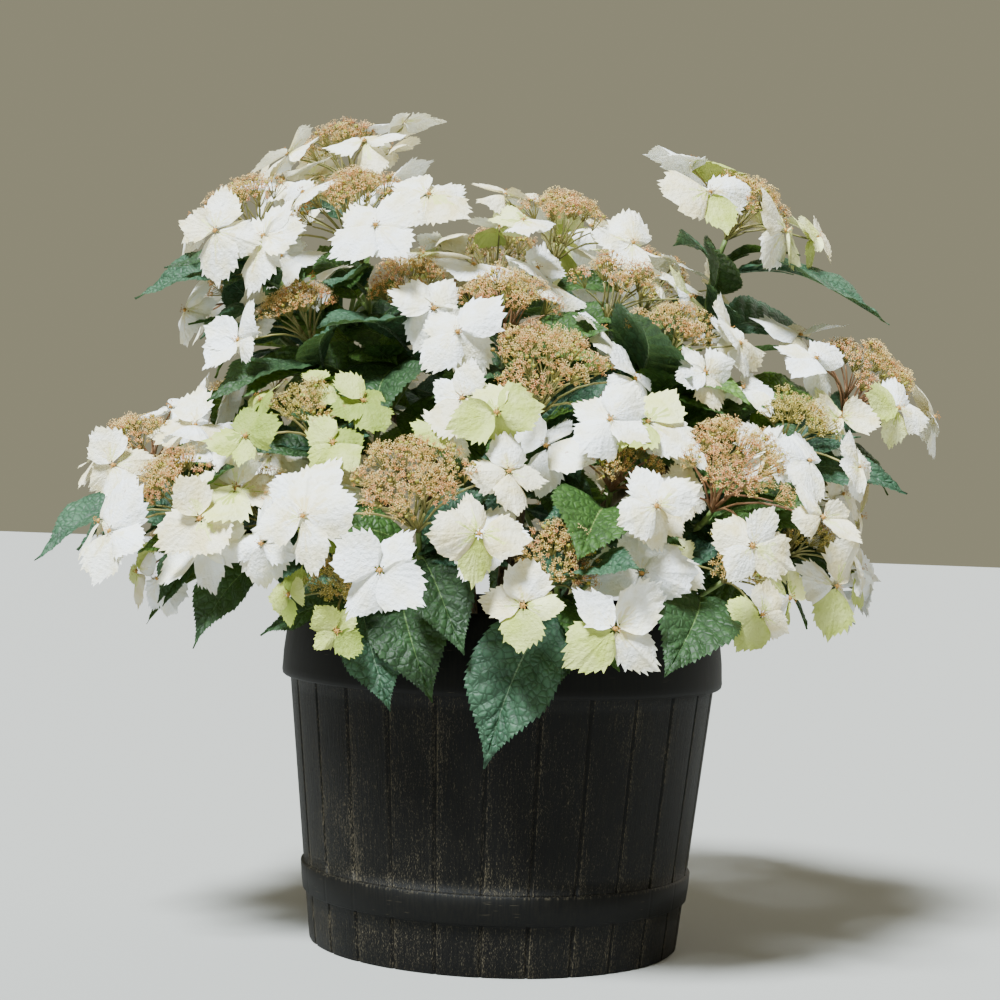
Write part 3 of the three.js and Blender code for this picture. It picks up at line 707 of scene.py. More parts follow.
def bark_finish():
    finish = Finish("stem_bark")
    cracks = finish.noise(420, 3, 1, 1, 0.12)
    patches = finish.noise(60, 2)
    colour = finish.blend(cracks.step(0.35, 0.62), "413223", "78654a")
    colour = finish.blend(patches.step(0.5, 0.8), colour, "5d5b3a")
    return finish.solid(Base_Color=colour, Roughness=0.85, Normal=finish.bump(cracks, 0.0012))


def fill_bark(heap, stem):
    shares = np.linspace(0, 1, BARK_RINGS)
    path = bezier(stem.controls, shares)
    path[0] -= UP * 3
    flare = 1 + 0.28 * np.exp(-shares / 0.05)
    scars = 1 + 0.09 * np.maximum(0, np.sin(shares * pi * 9)) ** 12
    radii = mix(STEM_FOOT, STEM_TIP, shares) * 0.94 * flare * scars
    turns = around(BARK_SIDES)
    relief = 0.26 * np.sin(turns * 5 + np.sin(shares * 7 + stem.number)[:, None] * 1.4)
    relief = relief + 0.18 * np.sin(turns * 3 - shares[:, None] * 24)
    heap.add(*tube(path, radii, BARK_SIDES, relief), 0)


grow("bark", "stem", [bark_finish()], fill_bark, "stem")

# %% [markdown]
# Twigs are this year's growth, a little ribbed, and swollen where a pair of leaves sits. From the end of
# each the head's own stalk goes on to the hub, where it parts into rays, and the rays part once more under
# the clusters of fertile flowers. A showy floret has a longer, thinner stalk. The clusters lie on a head,
# and the flowers on a cluster, as seeds do in a sunflower: each is turned on by 137.5 degrees.

# %% Twigs, stalks and rays
CLUSTER_RADIUS = 9.0
RAYS = 5
GOLDEN_ANGLE = radians(137.5)
TWIG_RINGS, TWIG_SIDES = 19, 8
LACE_SHARE = 0.84  # of the frame's head


def green_finish(name, low, high):
    finish = Finish(name)
    share = finish.noise(90, 2).step(0.35, 0.65)
    return finish.solid(Base_Color=finish.blend(share, low, high), Roughness=0.6)


TWIG_COLOURS = {
    "green_twig": ("51692f", "6b7b3f"), "olive_ray": ("777740", "8f854e"), "russet_ray": ("775438", "8f6a48"),
}
TWIG_FINISHES = [green_finish(name, *colours) for name, colours in TWIG_COLOURS.items()]


def sunflower(count, jitter, dice):
    """The turn of each seed, and its reach from 0 to 1."""
    for number in range(count):
        yield GOLDEN_ANGLE * number + dice.roll(-jitter, jitter), sqrt((number + 0.5) / count)


def head_clusters(stem, head):
    """The clusters of a head's lace: where each is, the way it faces, its radius, and where its ray ends."""
    dice = Dice(stem.number, head.number, 3)
    lace, lobed = head.spread * LACE_SHARE, dice.roll(0, 2 * pi)
    count = max(7, round((lace / CLUSTER_RADIUS) ** 2 * 0.8))
    for turn, share in sunflower(count, 0.2, dice):
        reach = lace * share * (0.88 + 0.14 * sin(turn * 3 + lobed)) * dice.roll(0.88, 1.04)
        radial = swing(head.across, head.rise, turn)
        lift = head.spread * (0.38 - 0.36 * (reach / lace) ** 2) + dice.roll(-3.5, 3.5)
        place = head.middle + radial * reach + head.facing * lift
        facing = unit(head.facing + radial * 0.75 * reach / lace)
        radius = lace / sqrt(count) * dice.roll(0.85, 1.1)
        yield Plan(place=place, facing=facing, radius=radius, fork=place - facing * (radius + 2))


def add_stalk(heap, points, radii, sides, finish, steps=5):
    shares = np.linspace(0, 1, steps)
    heap.add(*tube(bezier(points, shares), mix(*radii, shares), sides), finish)


def add_twig(heap, twig):
    shares = np.linspace(0, 1, TWIG_RINGS)
    path = bezier(twig.controls, shares)
    foot = SIDE_TWIG_FOOT if twig.head.number else TWIG_FOOT
    swelling = sum(np.exp(-(((shares - share) / 0.035) ** 2)) for share in PAIR_SHARES)
    radii = mix(foot, TWIG_TIP, shares) * 0.9 * (1 + 0.32 * swelling)
    heap.add(*tube(path, radii, TWIG_SIDES, 0.1 * np.cos(around(TWIG_SIDES) * 4)), 0)
    end = path[-1]
    add_stalk(heap, (end, end + twig.arriving * 8, twig.head.hub), (TWIG_TIP * 0.9, 2.1), 7, 0)


def add_rays(heap, head, ray_finish):
    """Each ray parts half-way into thinner ones for its clusters. Every fifth cluster is a neighbour."""
    for first in range(RAYS):
        forks = [cluster.fork for cluster in head.clusters[first::RAYS]]
        parting = mix(head.hub, sum(forks) / len(forks), 0.42)
        bend = mix(head.hub, parting, 0.5) + head.facing * head.spread * 0.03
        add_stalk(heap, (head.hub, bend, parting), (1.5, 1.15), 5, ray_finish)
        for fork in forks:
            bend = mix(parting, fork, 0.45) + head.facing * head.spread * 0.05
            add_stalk(heap, (parting, bend, fork), (0.95, 0.6), 4, ray_finish)
    for floret in head.grown:
        sag = mix(floret.root, floret.middle, 0.5) - UP * 4 - floret.facing * 3
        under = floret.middle - floret.facing * 2.2
        way = (head.hub, floret.root, sag, under - floret.facing * 3, under)
        add_stalk(heap, way, (0.95, 0.75), 5, ray_finish, 8)


def fill_twigs(heap, stem):
    for twig in stem.twigs:
        add_twig(heap, twig)
        twig.head.clusters = list(head_clusters(stem, twig.head))
        add_rays(heap, twig.head, 1 + (stem.number + twig.head.number) % 3 // 2)


grow("twigs", "stem", TWIG_FINISHES, fill_twigs, "foliage")

# %% [markdown]
# The showy florets are the shrub's face. What looks like a petal is a sepal: a broad fan on a narrow claw,
# puffed between its veins, with sharp forward teeth round its outer half. So its grid of points is a fan as
# well. Every other column ends in a tooth, and every third one lies in a vein. The two between make the
# puffs show, as smooth shading would level a plain zigzag.

# %% One sepal
SEPAL_ROWS = 5
# The margin of a sepal one unit long, from its tip down one side to the claw: to the side, then along.
HALF_MARGIN = np.array((
    (0, 1.1), (0.1, 1.01), (0.22, 0.93), (0.34, 0.84), (0.44, 0.73), (0.51, 0.6), (0.53, 0.47), (0.51, 0.34),
    (0.44, 0.22), (0.32, 0.13), (0.17, 0.07), (0.05, 0.03),
))
MARGIN = np.concatenate((HALF_MARGIN[:0:-1] * (-1, 1), HALF_MARGIN))
TIP = len(HALF_MARGIN) - 1
# A tooth stands on the stretch between two places of the margin, and points ahead, to the tip.
TEETH, TOOTH_LENGTH = 7, 0.1
PUFF_HEIGHT = 0.024
STRETCHES = np.arange(2 * TIP)
AHEAD, BEHIND = STRETCHES + (STRETCHES < TIP), STRETCHES + (STRETCHES >= TIP)
TOOTHED = np.minimum(abs(AHEAD - TIP), abs(BEHIND - TIP)) < TEETH
PUFFS = np.resize((0, 1, 0.85), 2 * len(STRETCHES) + 1)
OUT = np.linspace(0.06, 1, SEPAL_ROWS + 1)[:, None]  # how far out each row is, as a share


def rolls(dice, low, high, count):
    return np.array([dice.roll(low, high) for _ in range(count)])


def flat_sepal(dice, breadth):
    """The grid of a sepal one unit long: x to its side, y out along it. Last comes where its columns end."""
    lopsided = 1 + dice.roll(-0.1, 0.1) * np.sign(MARGIN[:, 0])
    uneven = 1 + rolls(dice, -0.05, 0.05, len(MARGIN))
    rim = MARGIN * np.stack((breadth * lopsided * uneven, uneven), 1)
    columns = np.empty((len(PUFFS), 2))
    columns[::2], columns[1::2] = rim, mix(rim[AHEAD], rim[BEHIND], 0.5)
    x, y = columns[:, 0] * OUT**1.15, 0.03 + (columns[:, 1] - 0.03) * OUT**0.95
    length = TOOTHED * TOOTH_LENGTH * rolls(dice, 0.1, 1.25, len(STRETCHES))
    teeth = (rim[AHEAD] - rim[BEHIND]) * TOOTHED[:, None] * 0.3
    teeth = teeth + units(rim[AHEAD] - (0, 0.35)) * length[:, None]
    x[-1, 1::2] += teeth[:, 0]
    y[-1, 1::2] += teeth[:, 1]
    return x, y, columns[:, 1]


def sepal_relief(x, y, ends, dice):
    """How high each point of the grid stands: puffs between the veins, a ruffled margin and a bend."""
    fullness = np.repeat(rolls(dice, 0.4, 1.3, len(PUFFS) // 3 + 1), 3)[: len(PUFFS)]
    puff = PUFF_HEIGHT * PUFFS * fullness * OUT * (1.3 - 0.6 * OUT) * np.minimum(1, ends * 2)
    bearing = np.arctan2(x, y)
    ruffle = dice.roll(0.02, 0.06) * np.sin(bearing * dice.roll(3.5, 6.5) + dice.roll(0, 2 * pi)) * OUT**2
    buckle = dice.roll(0.0, 0.03) * np.sin(y * dice.roll(5, 9) + dice.roll(0, 2 * pi)) * OUT
    bend = dice.roll(-0.3, 0.1) * OUT**2 + dice.roll(-0.6, 0.35) * x**2
    return bend + puff + ruffle + buckle


def sepal(reach, dice, breadth):
    """Points and faces of one sepal, whose face looks along z. Last comes how near the claw each face
    lies, 2, 1 or 0, in streaks along the veins."""
    x, y, ends = flat_sepal(dice, breadth)
    points, faces = skin(reach * np.stack((x, y, sepal_relief(x, y, ends, dice)), -1))
    streaks = np.repeat(rolls(dice, 0.6, 3.2, len(STRETCHES)), 2)
    tint = np.clip(streaks - np.arange(SEPAL_ROWS)[:, None], 0, 2).astype(int)
    return points, faces[:, ::-1], np.tile(tint.ravel(), 2)


# %% [markdown]
# The lace is hundreds of tiny fertile flowers to a head. Each is a star of five petals with long stamens,
# which make the lace look like foam. A few are made with different dice and stamped all over the lace, and
# one sits in the middle of each showy floret.

# %% One fertile flower
STAR, STAMENS, ANTHER, BUD = 0, 1, 2, 3
STAMEN_COUNT = 8
ANTHER_CORNERS = np.array(((1, 1, 1), (1, -1, -1), (-1, 1, -1), (-1, -1, 1))) * 0.13
BEAD_SIDES, BEAD_RINGS = 8, 4


def fertile_flower(dice):
    """Points, faces and finishes of a flower one unit wide, whose stamens reach out of it."""
    flower = Heap()

    def spoke(turn, reach, height):
        return (cos(turn) * reach, sin(turn) * reach, height)

    for petal in range(5):
        turn = petal * 2 * pi / 5 + dice.roll(-0.15, 0.15)
        left, right = (spoke(turn + side, 0.55, 0.12) for side in (-0.34, 0.34))
        petal_tip = spoke(turn, 1, dice.roll(-0.35, 0.1))
        flower.add([spoke(turn, 0.08, 0), left, petal_tip, right], [(0, 1, 2), (0, 2, 3)], STAR)
    for stamen in range(STAMEN_COUNT):
        turn = stamen * 2 * pi / STAMEN_COUNT + dice.roll(-0.4, 0.4)
        tip = spoke(turn, dice.roll(0.3, 1.3), dice.roll(0.8, 1.7))
        flower.add([spoke(turn - 0.6, 0.12, 0), spoke(turn + 0.6, 0.12, 0), tip], [(0, 1, 2)], STAMENS)
        flower.add(tip + ANTHER_CORNERS, [(0, 1, 2), (0, 3, 1), (0, 2, 3)], ANTHER)
    return flower.joined()


def bead(radius, height):
    """A low dome with four lobes."""
    turns = around(BEAD_SIDES)
    rise = np.linspace(-0.3, 1.35, BEAD_RINGS)[:, None]
    reach = radius * np.cos(rise) * (1 + 0.22 * np.cos(turns * 4))
    rings = np.stack((reach * np.cos(turns), reach * np.sin(turns), np.sin(rise) * height + 0 * turns), -1)
    points, faces = skin(rings, closed=True)
    cap = fan(np.arange(len(points) - BEAD_SIDES, len(points)), len(points))
    return np.concatenate((points, [[0, 0, height]])), np.concatenate((faces, cap))


FLOWER_SHAPES = [fertile_flower(Dice(13, number)) for number in range(5)]
BUD_SHAPE = (*bead(0.62, 0.75), BUD)


# %% One floret
# A sepal's lean in degrees, its reach, its breadth, and how far above the floret's middle it starts.
SEPAL_OVER = (-12, 18), (0.96, 1.08), (0.86, 1.08), 0.8
SEPAL_UNDER = (-26, 8), (0.84, 1.0), (0.7, 0.94), -0.3
ASTRAY = 0.22  # the share of sepals that lean much further one way
LONGEST = 1.08  # how much further one sepal of the four reaches
HEART_RADIUS = 2.9


def add_floret(heap, plan, dice, moods):
    """moods are pairs, of which each sepal takes one. Two of the sepals lie over the others."""
    u, v = basis_about(plan.facing, plan.spin)
    greater = dice.chance(0.5)
    longest = int(dice.roll(0, 3.99))
    for number in range(4):
        leans, reaches, breadths, rise = SEPAL_OVER if (number % 2 == 0) == greater else SEPAL_UNDER
        along = swing(u, v, radians(number * 90 + dice.roll(-9, 9)))
        lean = radians(dice.roll(*leans))
        if dice.chance(ASTRAY):
            lean += radians(dice.roll(-32, 28))
        along, face = swing(along, plan.facing, lean), swing(plan.facing, -along, lean)
        side, twist = np.cross(along, face), radians(dice.roll(-16, 16))
        side, face = swing(side, -face, twist), swing(face, side, twist)
        reach = plan.radius * dice.roll(*reaches) * (LONGEST if number == longest else 1)
        points, faces, tint = sepal(reach, dice, dice.roll(*breadths))
        start = plan.middle + plan.facing * rise + along * 1.2
        blade, greener = dice.pick(moods)
        heap.add(placed(points, start, side, along, face), faces, blade + np.minimum(tint, greener))
    points, faces, finishes = FLOWER_SHAPES[int(dice.roll(0, 4.99))]
    points = placed(points * HEART_RADIUS, plan.middle + plan.facing * 1.1, u, v, plan.facing)
    heap.add(points, faces, finishes + HEART_FINISH)
    points, faces = bead(1.7, 1.6)
    heap.add(placed(points, plan.middle + plan.facing, u, v, plan.facing), faces, HEART_FINISH)


# %% [markdown]
# White is never one colour. Most sepals are a cool, clean white, older ones are warmer, and young ones open
# lime green and pale from there. Each takes one of its head's few colours. Light passes through it, which
# keeps the shaded ones luminous, and fine crinkles and a few brown specks of age finish it.

# %% The florets' finishes
def sepal_finish(name, body, glow):
    finish = Finish(name)
    share = finish.noise(70, 2).step(0.35, 0.7)
    colour = finish.blend(share, body, glow)
    specks = finish.noise(170, 1).step(0.77, 0.8) * 0.6
    colour = finish.blend(specks, colour, "a8794a")
    crinkle = finish.bump(finish.noise(330, 2) + finish.noise(1300, 1) * 0.35, 0.002, 0.7)
    return finish.thin(glow, 0.15, Base_Color=colour, Roughness=0.6, Specular_IOR_Level=0.3, Normal=crinkle)


def plain_finish(name, colour, roughness=0.7):
    return Finish(name).solid(Base_Color=colour, Roughness=roughness)


SEPAL_COLOURS = {
    "cool_white": ("f8fcff", "f3f1e0"), "white": ("f8f9f2", "f0e9c6"), "warm_white": ("f0ead0", "e5d8a6"),
    "cream": ("e9ebb2", "dcde8c"), "lime": ("c4cd7a", "b2bf58"), "young_green": ("98a84c", "86993a"),
}
HEART_COLOURS = {"star": "b08640", "stamen": "c09b5a", "anther": "aa7332"}
FLORET_FINISHES = [sepal_finish(f"sepal_{name}", *colours) for name, colours in SEPAL_COLOURS.items()]
FLORET_FINISHES += [plain_finish(f"heart_{name}", colour) for name, colour in HEART_COLOURS.items()]
HEART_FINISH = len(SEPAL_COLOURS)
# Each mood is a list of pairs: the finish of a sepal's blade, and how many finishes on its claw is.
MOODS = {
    "white": ((0, 0), (0, 0), (0, 1), (1, 0)),
    "soft": ((0, 1), (1, 1), (1, 2), (2, 0)),
    "warm": ((1, 2), (2, 1), (2, 0)),
    "cream": ((0, 2), (1, 2), (3, 1), (2, 2), (4, 0)),
    "young": ((4, 1), (5, 0), (5, 0), (4, 0)),
}
USUAL_MOODS = ("white", "white", "white", "soft", "soft", "warm", "warm", "cream", "cream", "soft")
HEAD_MOODS = {
    ("left", 2): "young", ("front_left", 1): "young", ("top_right", 0): "cream", ("front_right", 2): "cream",
    ("right", 3): "cream", ("back", 0): "cream",
}


def fill_florets(heap, stem):
    for head in stem.heads:
        dice = Dice(stem.number, head.number, 4)
        for plan in head.grown:
            mood = HEAD_MOODS.get((stem.name, head.number)) or dice.pick(USUAL_MOODS)
            add_floret(heap, plan, dice, MOODS[mood])


grow("florets", "floret", FLORET_FINISHES, fill_florets, "flower_head")

# %% [markdown]
# Each head's lace is one blend of peach, apricot, salmon or gold, and the late heads near the rim are still
# green and gold in bud. A flower whose place is within a showy floret's sepals is left out.

# %% The lace
LACE_COLOURS = {
    "peach": ("bd8142", "cc9b56", "dab97a", "9d8e33"),
    "apricot": ("b38b3e", "c49d51", "d5bb76", "908b2f"),
    "salmon": ("b97646", "c88e58", "d7b07a", "987c35"),
    "gold": ("9b892f", "b29b46", "cab96f", "78832c"),
}
LACE_FINISHES = [
    plain_finish(f"lace_{name}_{part}", colour)
    for name, colours in LACE_COLOURS.items()
    for part, colour in zip(("star", "stamen", "anther", "bud"), colours)
]
PEDICEL = len(LACE_FINISHES)
LACE_FINISHES.append(plain_finish("lace_pedicel", "857d3d"))
FLOWERS = (14, 19)  # to a cluster
FLOWER_REACH = (1.8, 2.6)
OPEN, SAME_SHADE = 0.88, 0.75  # shares of a cluster's flowers
RIPE, EARLY = (0, 0, 1, 2, 1), (3, 1, 3)
EARLY_HEADS = {("right", 3), ("top_right", 2), ("front_right", 2), ("front_left", 1), ("left", 2)}


def columns_of(plans, *names):
    return [np.array([getattr(plan, name) for plan in plans]) for name in names]


FLORET_PLACES, FLORET_FACINGS, FLORET_RADII = columns_of(florets, "middle", "facing", "radius")
HEAD_MIDDLES, HEAD_SPREADS = columns_of(heads, "middle", "spread")


def in_a_floret(place, over=0.22, under=0.2):
    """Whether a place is within a floret's sepals, which lean that far over and under its disc."""
    away = place - FLORET_PLACES
    height = np.sum(away * FLORET_FACINGS, axis=1)
    reach = np.sqrt(np.maximum(np.sum(away**2, axis=1) - height**2, 0))
    thick = 2.0 + reach * np.where(height > 0, over, under)
    return np.any((np.abs(height) < thick) & (reach < FLORET_RADII * 0.92))


def pedicel(path, across, radius=0.3):
    """A hair-thin stalk with three sides and no caps, as its ends are never seen."""
    square = np.cross(unit(path[-1] - path[0]), across)
    turns = around(3)
    ring = radius * (np.cos(turns)[:, None] * across + np.sin(turns)[:, None] * square)
    return skin(path[:, None] + ring, closed=True)


def add_flowers(heap, cluster, dice, ripeness):
    palette, count = 4 * dice.pick(ripeness), int(dice.roll(*FLOWERS))
    across, square = basis_about(cluster.facing, dice.roll(0, 360))
    for turn, share in sunflower(count, 0.25, dice):
        radial = swing(across, square, turn)
        lift = cluster.radius * 0.62 * (1 - share**2) + dice.roll(-1.2, 1.2)
        place = cluster.place + radial * cluster.radius * share + cluster.facing * lift
        facing = unit(cluster.facing + radial * 0.8 * share)
        shape = FLOWER_SHAPES[int(dice.roll(0, 4.99))] if dice.chance(OPEN) else BUD_SHAPE
        points, faces, finishes = shape
        u, v = basis_about(facing, dice.roll(0, 360))
        shade = palette if dice.chance(SAME_SHADE) else 4 * dice.pick(ripeness)
        if not in_a_floret(place, over=0.12):
            heap.add(placed(points * dice.roll(*FLOWER_REACH), place, u, v, facing), faces, finishes + shade)
            heap.add(*pedicel(np.array((cluster.fork + cluster.facing, place)), u), PEDICEL)


def fill_lace(heap, stem):
    for head in stem.heads:
        dice = Dice(stem.number, head.number, 5)
        for cluster in head.clusters:
            add_flowers(heap, cluster, dice, EARLY if (stem.name, head.number) in EARLY_HEADS else RIPE)


grow("lace", "lace", LACE_FINISHES, fill_lace, "flower_head")

# %% [markdown]
# A leaf is ovate with a drawn-out tip, coarse forward teeth, a pale midrib and eight pairs of veins that
# arch towards the margin. Between the veins the blade bulges like a quilt, so the rows of its grid follow
# them: a narrow row is a sunken vein, and the two rows between two veins stand on the bulge.

# %% One leaf
VEIN_PAIRS = 8
VEIN_HALF = 0.0034  # half a vein's width, as a share of the blade's length
PETIOLE = 0.09
ACROSS = np.array((0.0, 0.02, 0.22, 0.42, 0.62, 0.82, 1.0))
BLADE, SHADED_VEIN, MIDRIB = 0, 1, 2
BULGE, WAVE, TOOTH = 0.024, 0.016, 0.016  # shares of a leaf's length
CUP = 0.2  # how far the margin stands up, as a share of the half width
SWEEP = 0.2  # how far a vein runs ahead on its way to the margin
WRINKLE = 0.22


def blade_half(share):
    """Half the blade's width along it, as a share of its widest half: ovate, with a drawn-out tip."""
    share = clamp(share)
    return np.sin(pi * share**0.8) ** 0.82 * (1 - 0.78 * clamp((share - 0.58) / 0.42) ** 1.1)


def vein_rows():
    """Where each row leaves the midrib, which edge of its vein's strip it is, and how much it bulges."""
    starts = 0.02 + 0.86 * np.arange(VEIN_PAIRS + 1) / VEIN_PAIRS
    rows = []
    for start, after in zip(starts, starts[1:]):
        rows += [(start, -1, 0), (start, 1, 0)]
        rows += [(mix(start, after, share), 0, 0.9) for share in (0.33, 0.67)]
    return np.array(rows + [(0.9, 0, 0), (1.0, 0, 0)])


ROWS = vein_rows()


def half_blade(side, length, half, spine_at, dice):
    """One half of a blade, from its midrib to its toothed margin. side is -1 or 1."""
    across, foot = ACROSS[None], ROWS[:, :1]
    start = foot + ROWS[:, 1:2] * VEIN_HALF * (1 - 0.75 * across)
    reach_ahead = SWEEP * np.sin(pi * foot) * (1 - 0.35 * foot)
    share = clamp(start + reach_ahead * across**1.25)
    margin = blade_half(foot + reach_ahead)
    bulge = BULGE * length * ROWS[:, 2:] * np.sin(pi * clamp(across * 0.94)) ** 0.7
    rows, columns = np.arange(len(ROWS))[:, None], np.arange(len(ACROSS))
    wrinkle = WRINKLE * np.sin(rows * 5.1 + columns * 3.7 + dice.roll(0, 6))
    wave = WAVE * length * np.sin(share * 13 + dice.roll(0, 6)) * across**2
    spine, along, face, out = spine_at(PETIOLE + (1 - PETIOLE) * share)
    height = bulge * (1 + wrinkle) + wave + CUP * half * margin * across
    grid = spine + out * (side * half * margin * across)[..., None] + face * height[..., None]
    points, faces = skin(grid)
    # The vein strips take the vein finish, whose darker colour is painted shade.
    in_vein = np.where(ROWS[:-1, 1:2] < 0, SHADED_VEIN, BLADE)
    kind = np.tile(np.where(columns[:-1] == 0, MIDRIB, in_vein).ravel(), 2)
    rim = grid[:, -1]
    size = TOOTH * length * clamp(margin[:-1, 0] * 2.2) * (1 + 0.25 * np.sin(np.arange(len(rim) - 1) * 1.7))
    teeth = mix(rim[:-1], rim[1:], 0.95) + (out[:-1, -1] * side + along[:-1, -1] * 0.5) * size[:, None]
    ends = rows[:, 0] * len(ACROSS) + len(ACROSS) - 1
    faces = np.concatenate((faces, np.stack((len(points) + rows[:-1, 0], ends[1:], ends[:-1]), 1)))
    kind = np.append(kind, np.full(len(teeth), BLADE))
    return np.concatenate((points, teeth)), faces[:, ::-1] if side > 0 else faces, kind


def add_leaf(heap, plan, dice, green):
    """green is the finish of the blade. The next two in the list are those of its veins, darkened with
    painted shade, and its midrib.
    """
    length, along, face, side = leaf_axes(plan)
    half = length * LEAF_WIDTH / 2 * dice.roll(0.9, 1.06)
    droop, sideways = dice.roll(0.0, 0.07), dice.roll(-0.03, 0.03)

    def spine_at(shares):
        arch = LEAF_FOLD * np.sin(pi * shares)
        slope = LEAF_FOLD * pi * np.cos(pi * shares)
        dip, swerve = droop * np.sin(2 * pi * shares) * 0.3, sideways * np.sin(pi * shares)
        place = plan.base + along * (length * shares)[..., None]
        place = place + face * (length * (arch + dip))[..., None] + side * (length * swerve)[..., None]
        ahead = units(along + face * slope[..., None])
        up = units(face - ahead * np.sum(face * ahead, axis=-1)[..., None])
        return place, ahead, up, np.cross(up, ahead)

    for which in (-1, 1):
        points, faces, kind = half_blade(which, length, half, spine_at, dice)
        heap.add(points, faces, green + kind)
    path = spine_at(np.linspace(0, 0.42, 7))[0] - face * 0.9
    path[0] = bezier(plan.twig.controls, plan.share)[0]
    heap.add(*tube(path, np.linspace(1.7, 0.5, 7), 6), green + MIDRIB)


# %% [markdown]
# Most leaves are deep green or a little blue, some are a mid green, and the youngest a fresh yellow green.
# Faint mottling, a net of fine creases darkened with painted shade, a soft sheen, and a little light let
# through finish them.

# %% The leaves' finishes
def leaf_finish(name, low, high, glow):
    finish = Finish(name)
    mottle = finish.noise(55, 3).step(0.3, 0.7)
    cells = finish.node("TexVoronoi", {"Vector": finish.places(), "Scale": 190}, feature="DISTANCE_TO_EDGE")
    colour = finish.blend(mottle, low, high)
    # Painted shade: the edges of the cells, where the fine creases run, are darkened towards near black.
    colour = finish.blend(cells.step(0.0, 0.13) * 0.55 + 0.45, "0a140a", colour)
    creases = finish.bump(cells.step(0.0, 0.3) + finish.noise(900, 1) * 0.3, 0.0012, 0.6)
    return finish.thin(glow, 0.13, Base_Color=colour, Roughness=0.55, Specular_IOR_Level=0.32, Normal=creases)


# For blade, vein and midrib: a darker and a lighter colour, and the colour of the light that comes through.
# The veins' colours are darker than the blade's, as painted shade in the sunken veins.
LEAF_GREENS = {
    "deep": "233b21 304d2c 638331  1b3019 254023 55732d  577342 65814d 75914b",
    "blue_green": "2f4e3a 3c5e46 627e42  25402f 31503b 546e3b  678167 758d70 7f9863",
    "mid": "2f4d1f 3d5e28 718f31  253f19 324e22 627e2c  657e42 738a4d 869f49",
    "fresh": "466926 577831 86a031  3a5b21 47692a 77912d  789247 869f55 96ab50",
}
LEAF_FINISHES = [
    leaf_finish(f"leaf_{name}_{part}", *greens.split()[first : first + 3])
    for name, greens in LEAF_GREENS.items()
    for first, part in zip((0, 3, 6), ("blade", "vein", "midrib"))
]
DEEP, BLUE_GREEN, MID, FRESH = range(0, len(LEAF_FINISHES), 3)
GREENS = (DEEP, DEEP, BLUE_GREEN, BLUE_GREEN, MID, MID, MID, FRESH)
SET_GREENS = (BLUE_GREEN, DEEP, DEEP, MID)

# %% [markdown]
# Smaller leaves grow between the pairs of the frame and close the crown from within. One stays out where it
# would meet a floret, the lace or the planter, or hang low.

# %% The leaves
EXTRA_SHARES = (0.97, 0.7, 0.52, 0.28)
MOST_EXTRA = 6  # on a twig
EXTRA_LENGTH = (0.66, 1.0)
LOWEST_EXTRA = 30  # over the rim
RIM_REACH = 190


def has_room(plan):
    if plan.tip[2] < RIM_HEIGHT + LOWEST_EXTRA:
        return False
    for share in (0.3, 0.5, 0.75, 1):
        place = mix(plan.base, plan.tip, share)
        in_lace = np.linalg.norm(place - HEAD_MIDDLES, axis=1) < HEAD_SPREADS * 0.8
        in_planter = place[2] < RIM_HEIGHT + 8 and np.hypot(*place[:2]) < RIM_REACH
        if in_planter or in_lace.any() or in_a_floret(place):
            return False
    return True


def extra_leaves(stem):
    for twig in stem.twigs:
        room = MOST_EXTRA
        for number, side in np.ndindex(len(EXTRA_SHARES), 2):
            order, turn = 10 + number * 2 + side, 45 + number * 90 + side * 180
            for tries in range(TRIES if room else 0):
                plan = leaf_plan(stem, twig, EXTRA_SHARES[number], order, turn, tries)
                length = Dice(stem.number, number, side, tries).roll(*EXTRA_LENGTH)
                plan.tip = mix(plan.base, plan.tip, length)
                if has_room(plan):
                    room -= 1
                    yield plan
                    break


def fill_leaves(heap, stem):
    dice = Dice(stem.number, 6)
    for number, plan in enumerate(stem.leaves):
        hanging = number < len(STEMS[stem.name][1])
        add_leaf(heap, plan, dice, SET_GREENS[number % 4] if hanging else dice.pick(GREENS))
    for plan in extra_leaves(stem):
        add_leaf(heap, plan, dice, dice.pick(GREENS))


grow("leaves", "leaf", LEAF_FINISHES, fill_leaves, "foliage")

# %% [markdown]
# The camera stands where the photographer stood, about 1.8 m in front of the planter and a little above its
# rim, with the slight roll of a camera held by hand. The light is a dim, even sky and one soft sun high on
# the left, as on a bright, hazy day, with a weaker one behind for the far side.

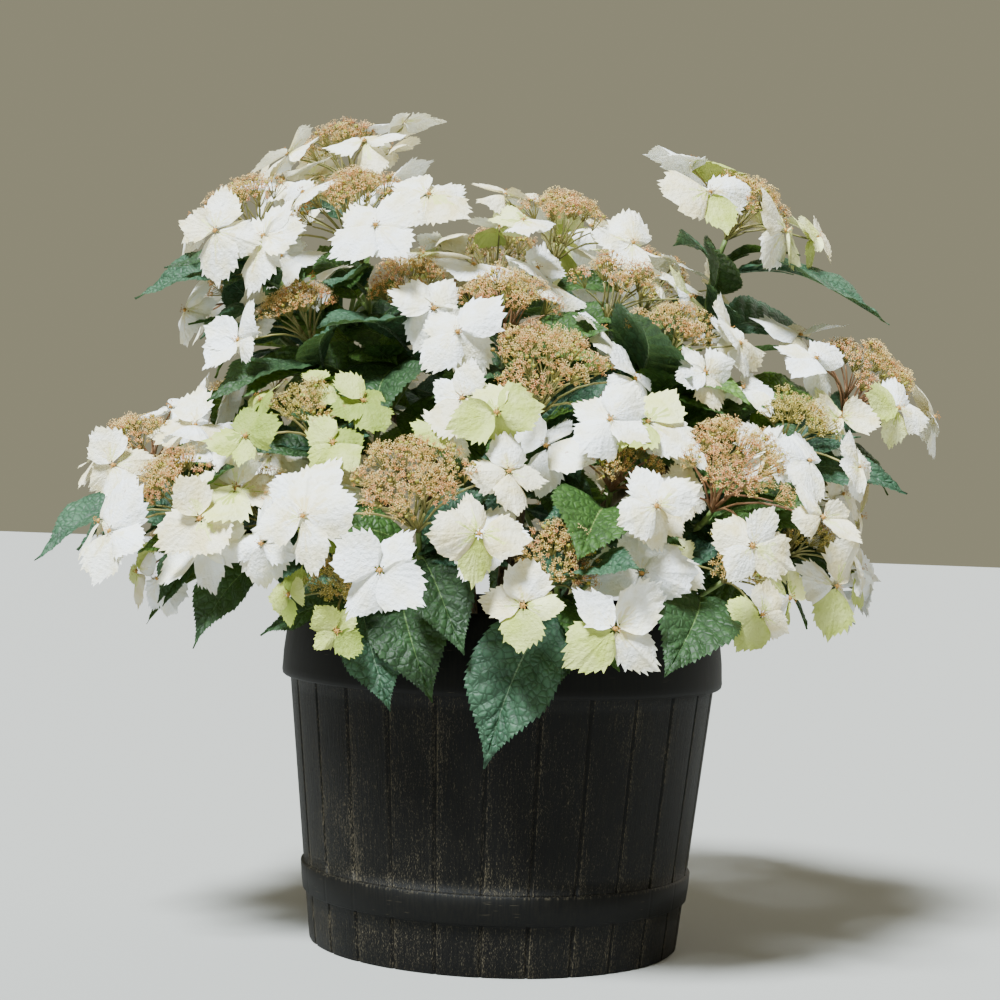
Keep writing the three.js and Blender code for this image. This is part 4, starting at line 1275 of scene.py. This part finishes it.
# %% Camera, light and floor
CAMERA_PLACE = (-7, -1780, 360)
CAMERA_ROLL, FIELD_OF_VIEW = radians(2.1), radians(26)
FLOOR_HALF, FLOOR_LEVEL = 14.0, -0.0004  # metres

camera = put("camera", bpy.data.cameras.new("camera"))
camera.data.sensor_fit, camera.data.angle = "HORIZONTAL", FIELD_OF_VIEW
right, up = Vector((cos(CAMERA_ROLL), 0, sin(CAMERA_ROLL))), Vector((-sin(CAMERA_ROLL), 0, cos(CAMERA_ROLL)))
turned = Matrix((right, up, right.cross(up))).transposed().to_4x4()
camera.matrix_world = Matrix.Translation(Vector(CAMERA_PLACE) * MM) @ turned
bpy.context.scene.camera = camera


def add_sun(name, from_where, breadth, strength, tint):
    """A far lamp, seen as a disc some degrees broad: the broader it is, the softer its shadows."""
    sun = put(name, bpy.data.lights.new(name, "SUN"))
    sun.data.angle, sun.data.energy, sun.data.color = radians(breadth), strength, paint(tint)[:3]
    sun.rotation_euler = (-Vector(from_where)).to_track_quat("-Z", "Y").to_euler()


add_sun("sky_sun", (-0.4, -0.8, 1.3), 14, 13.6, "f2fbff")
add_sun("rear_sun", (0.8, 0.9, 0.7), 50, 1.0, "fff8ec")

world = bpy.data.worlds.new("studio")
bpy.context.scene.world = world
world.use_nodes = True
sky = world.node_tree.nodes["Background"]
sky.inputs["Color"].default_value = paint("e0dbb8")
sky.inputs["Strength"].default_value = 0.38

corners = [(x * FLOOR_HALF, y * FLOOR_HALF, FLOOR_LEVEL) for x, y in ((-1, -1), (1, -1), (1, 1), (-1, 1))]
floor_mesh = bpy.data.meshes.new("floor")
floor_mesh.from_pydata(corners, [], [(0, 1, 2, 3)])
floor_mesh.materials.append(plain_finish("pale_floor", "9e9e9b", 0.9))
put("floor", floor_mesh)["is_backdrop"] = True

# %% [markdown]
# Last, the box of what was made is written beside the box of the frame, so that the two can be compared.

# %% The sizes, and the end
shown_box = [list(corner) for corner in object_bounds()]
print("visual box in metres:", [[round(x, 4) for x in corner] for corner in shown_box])
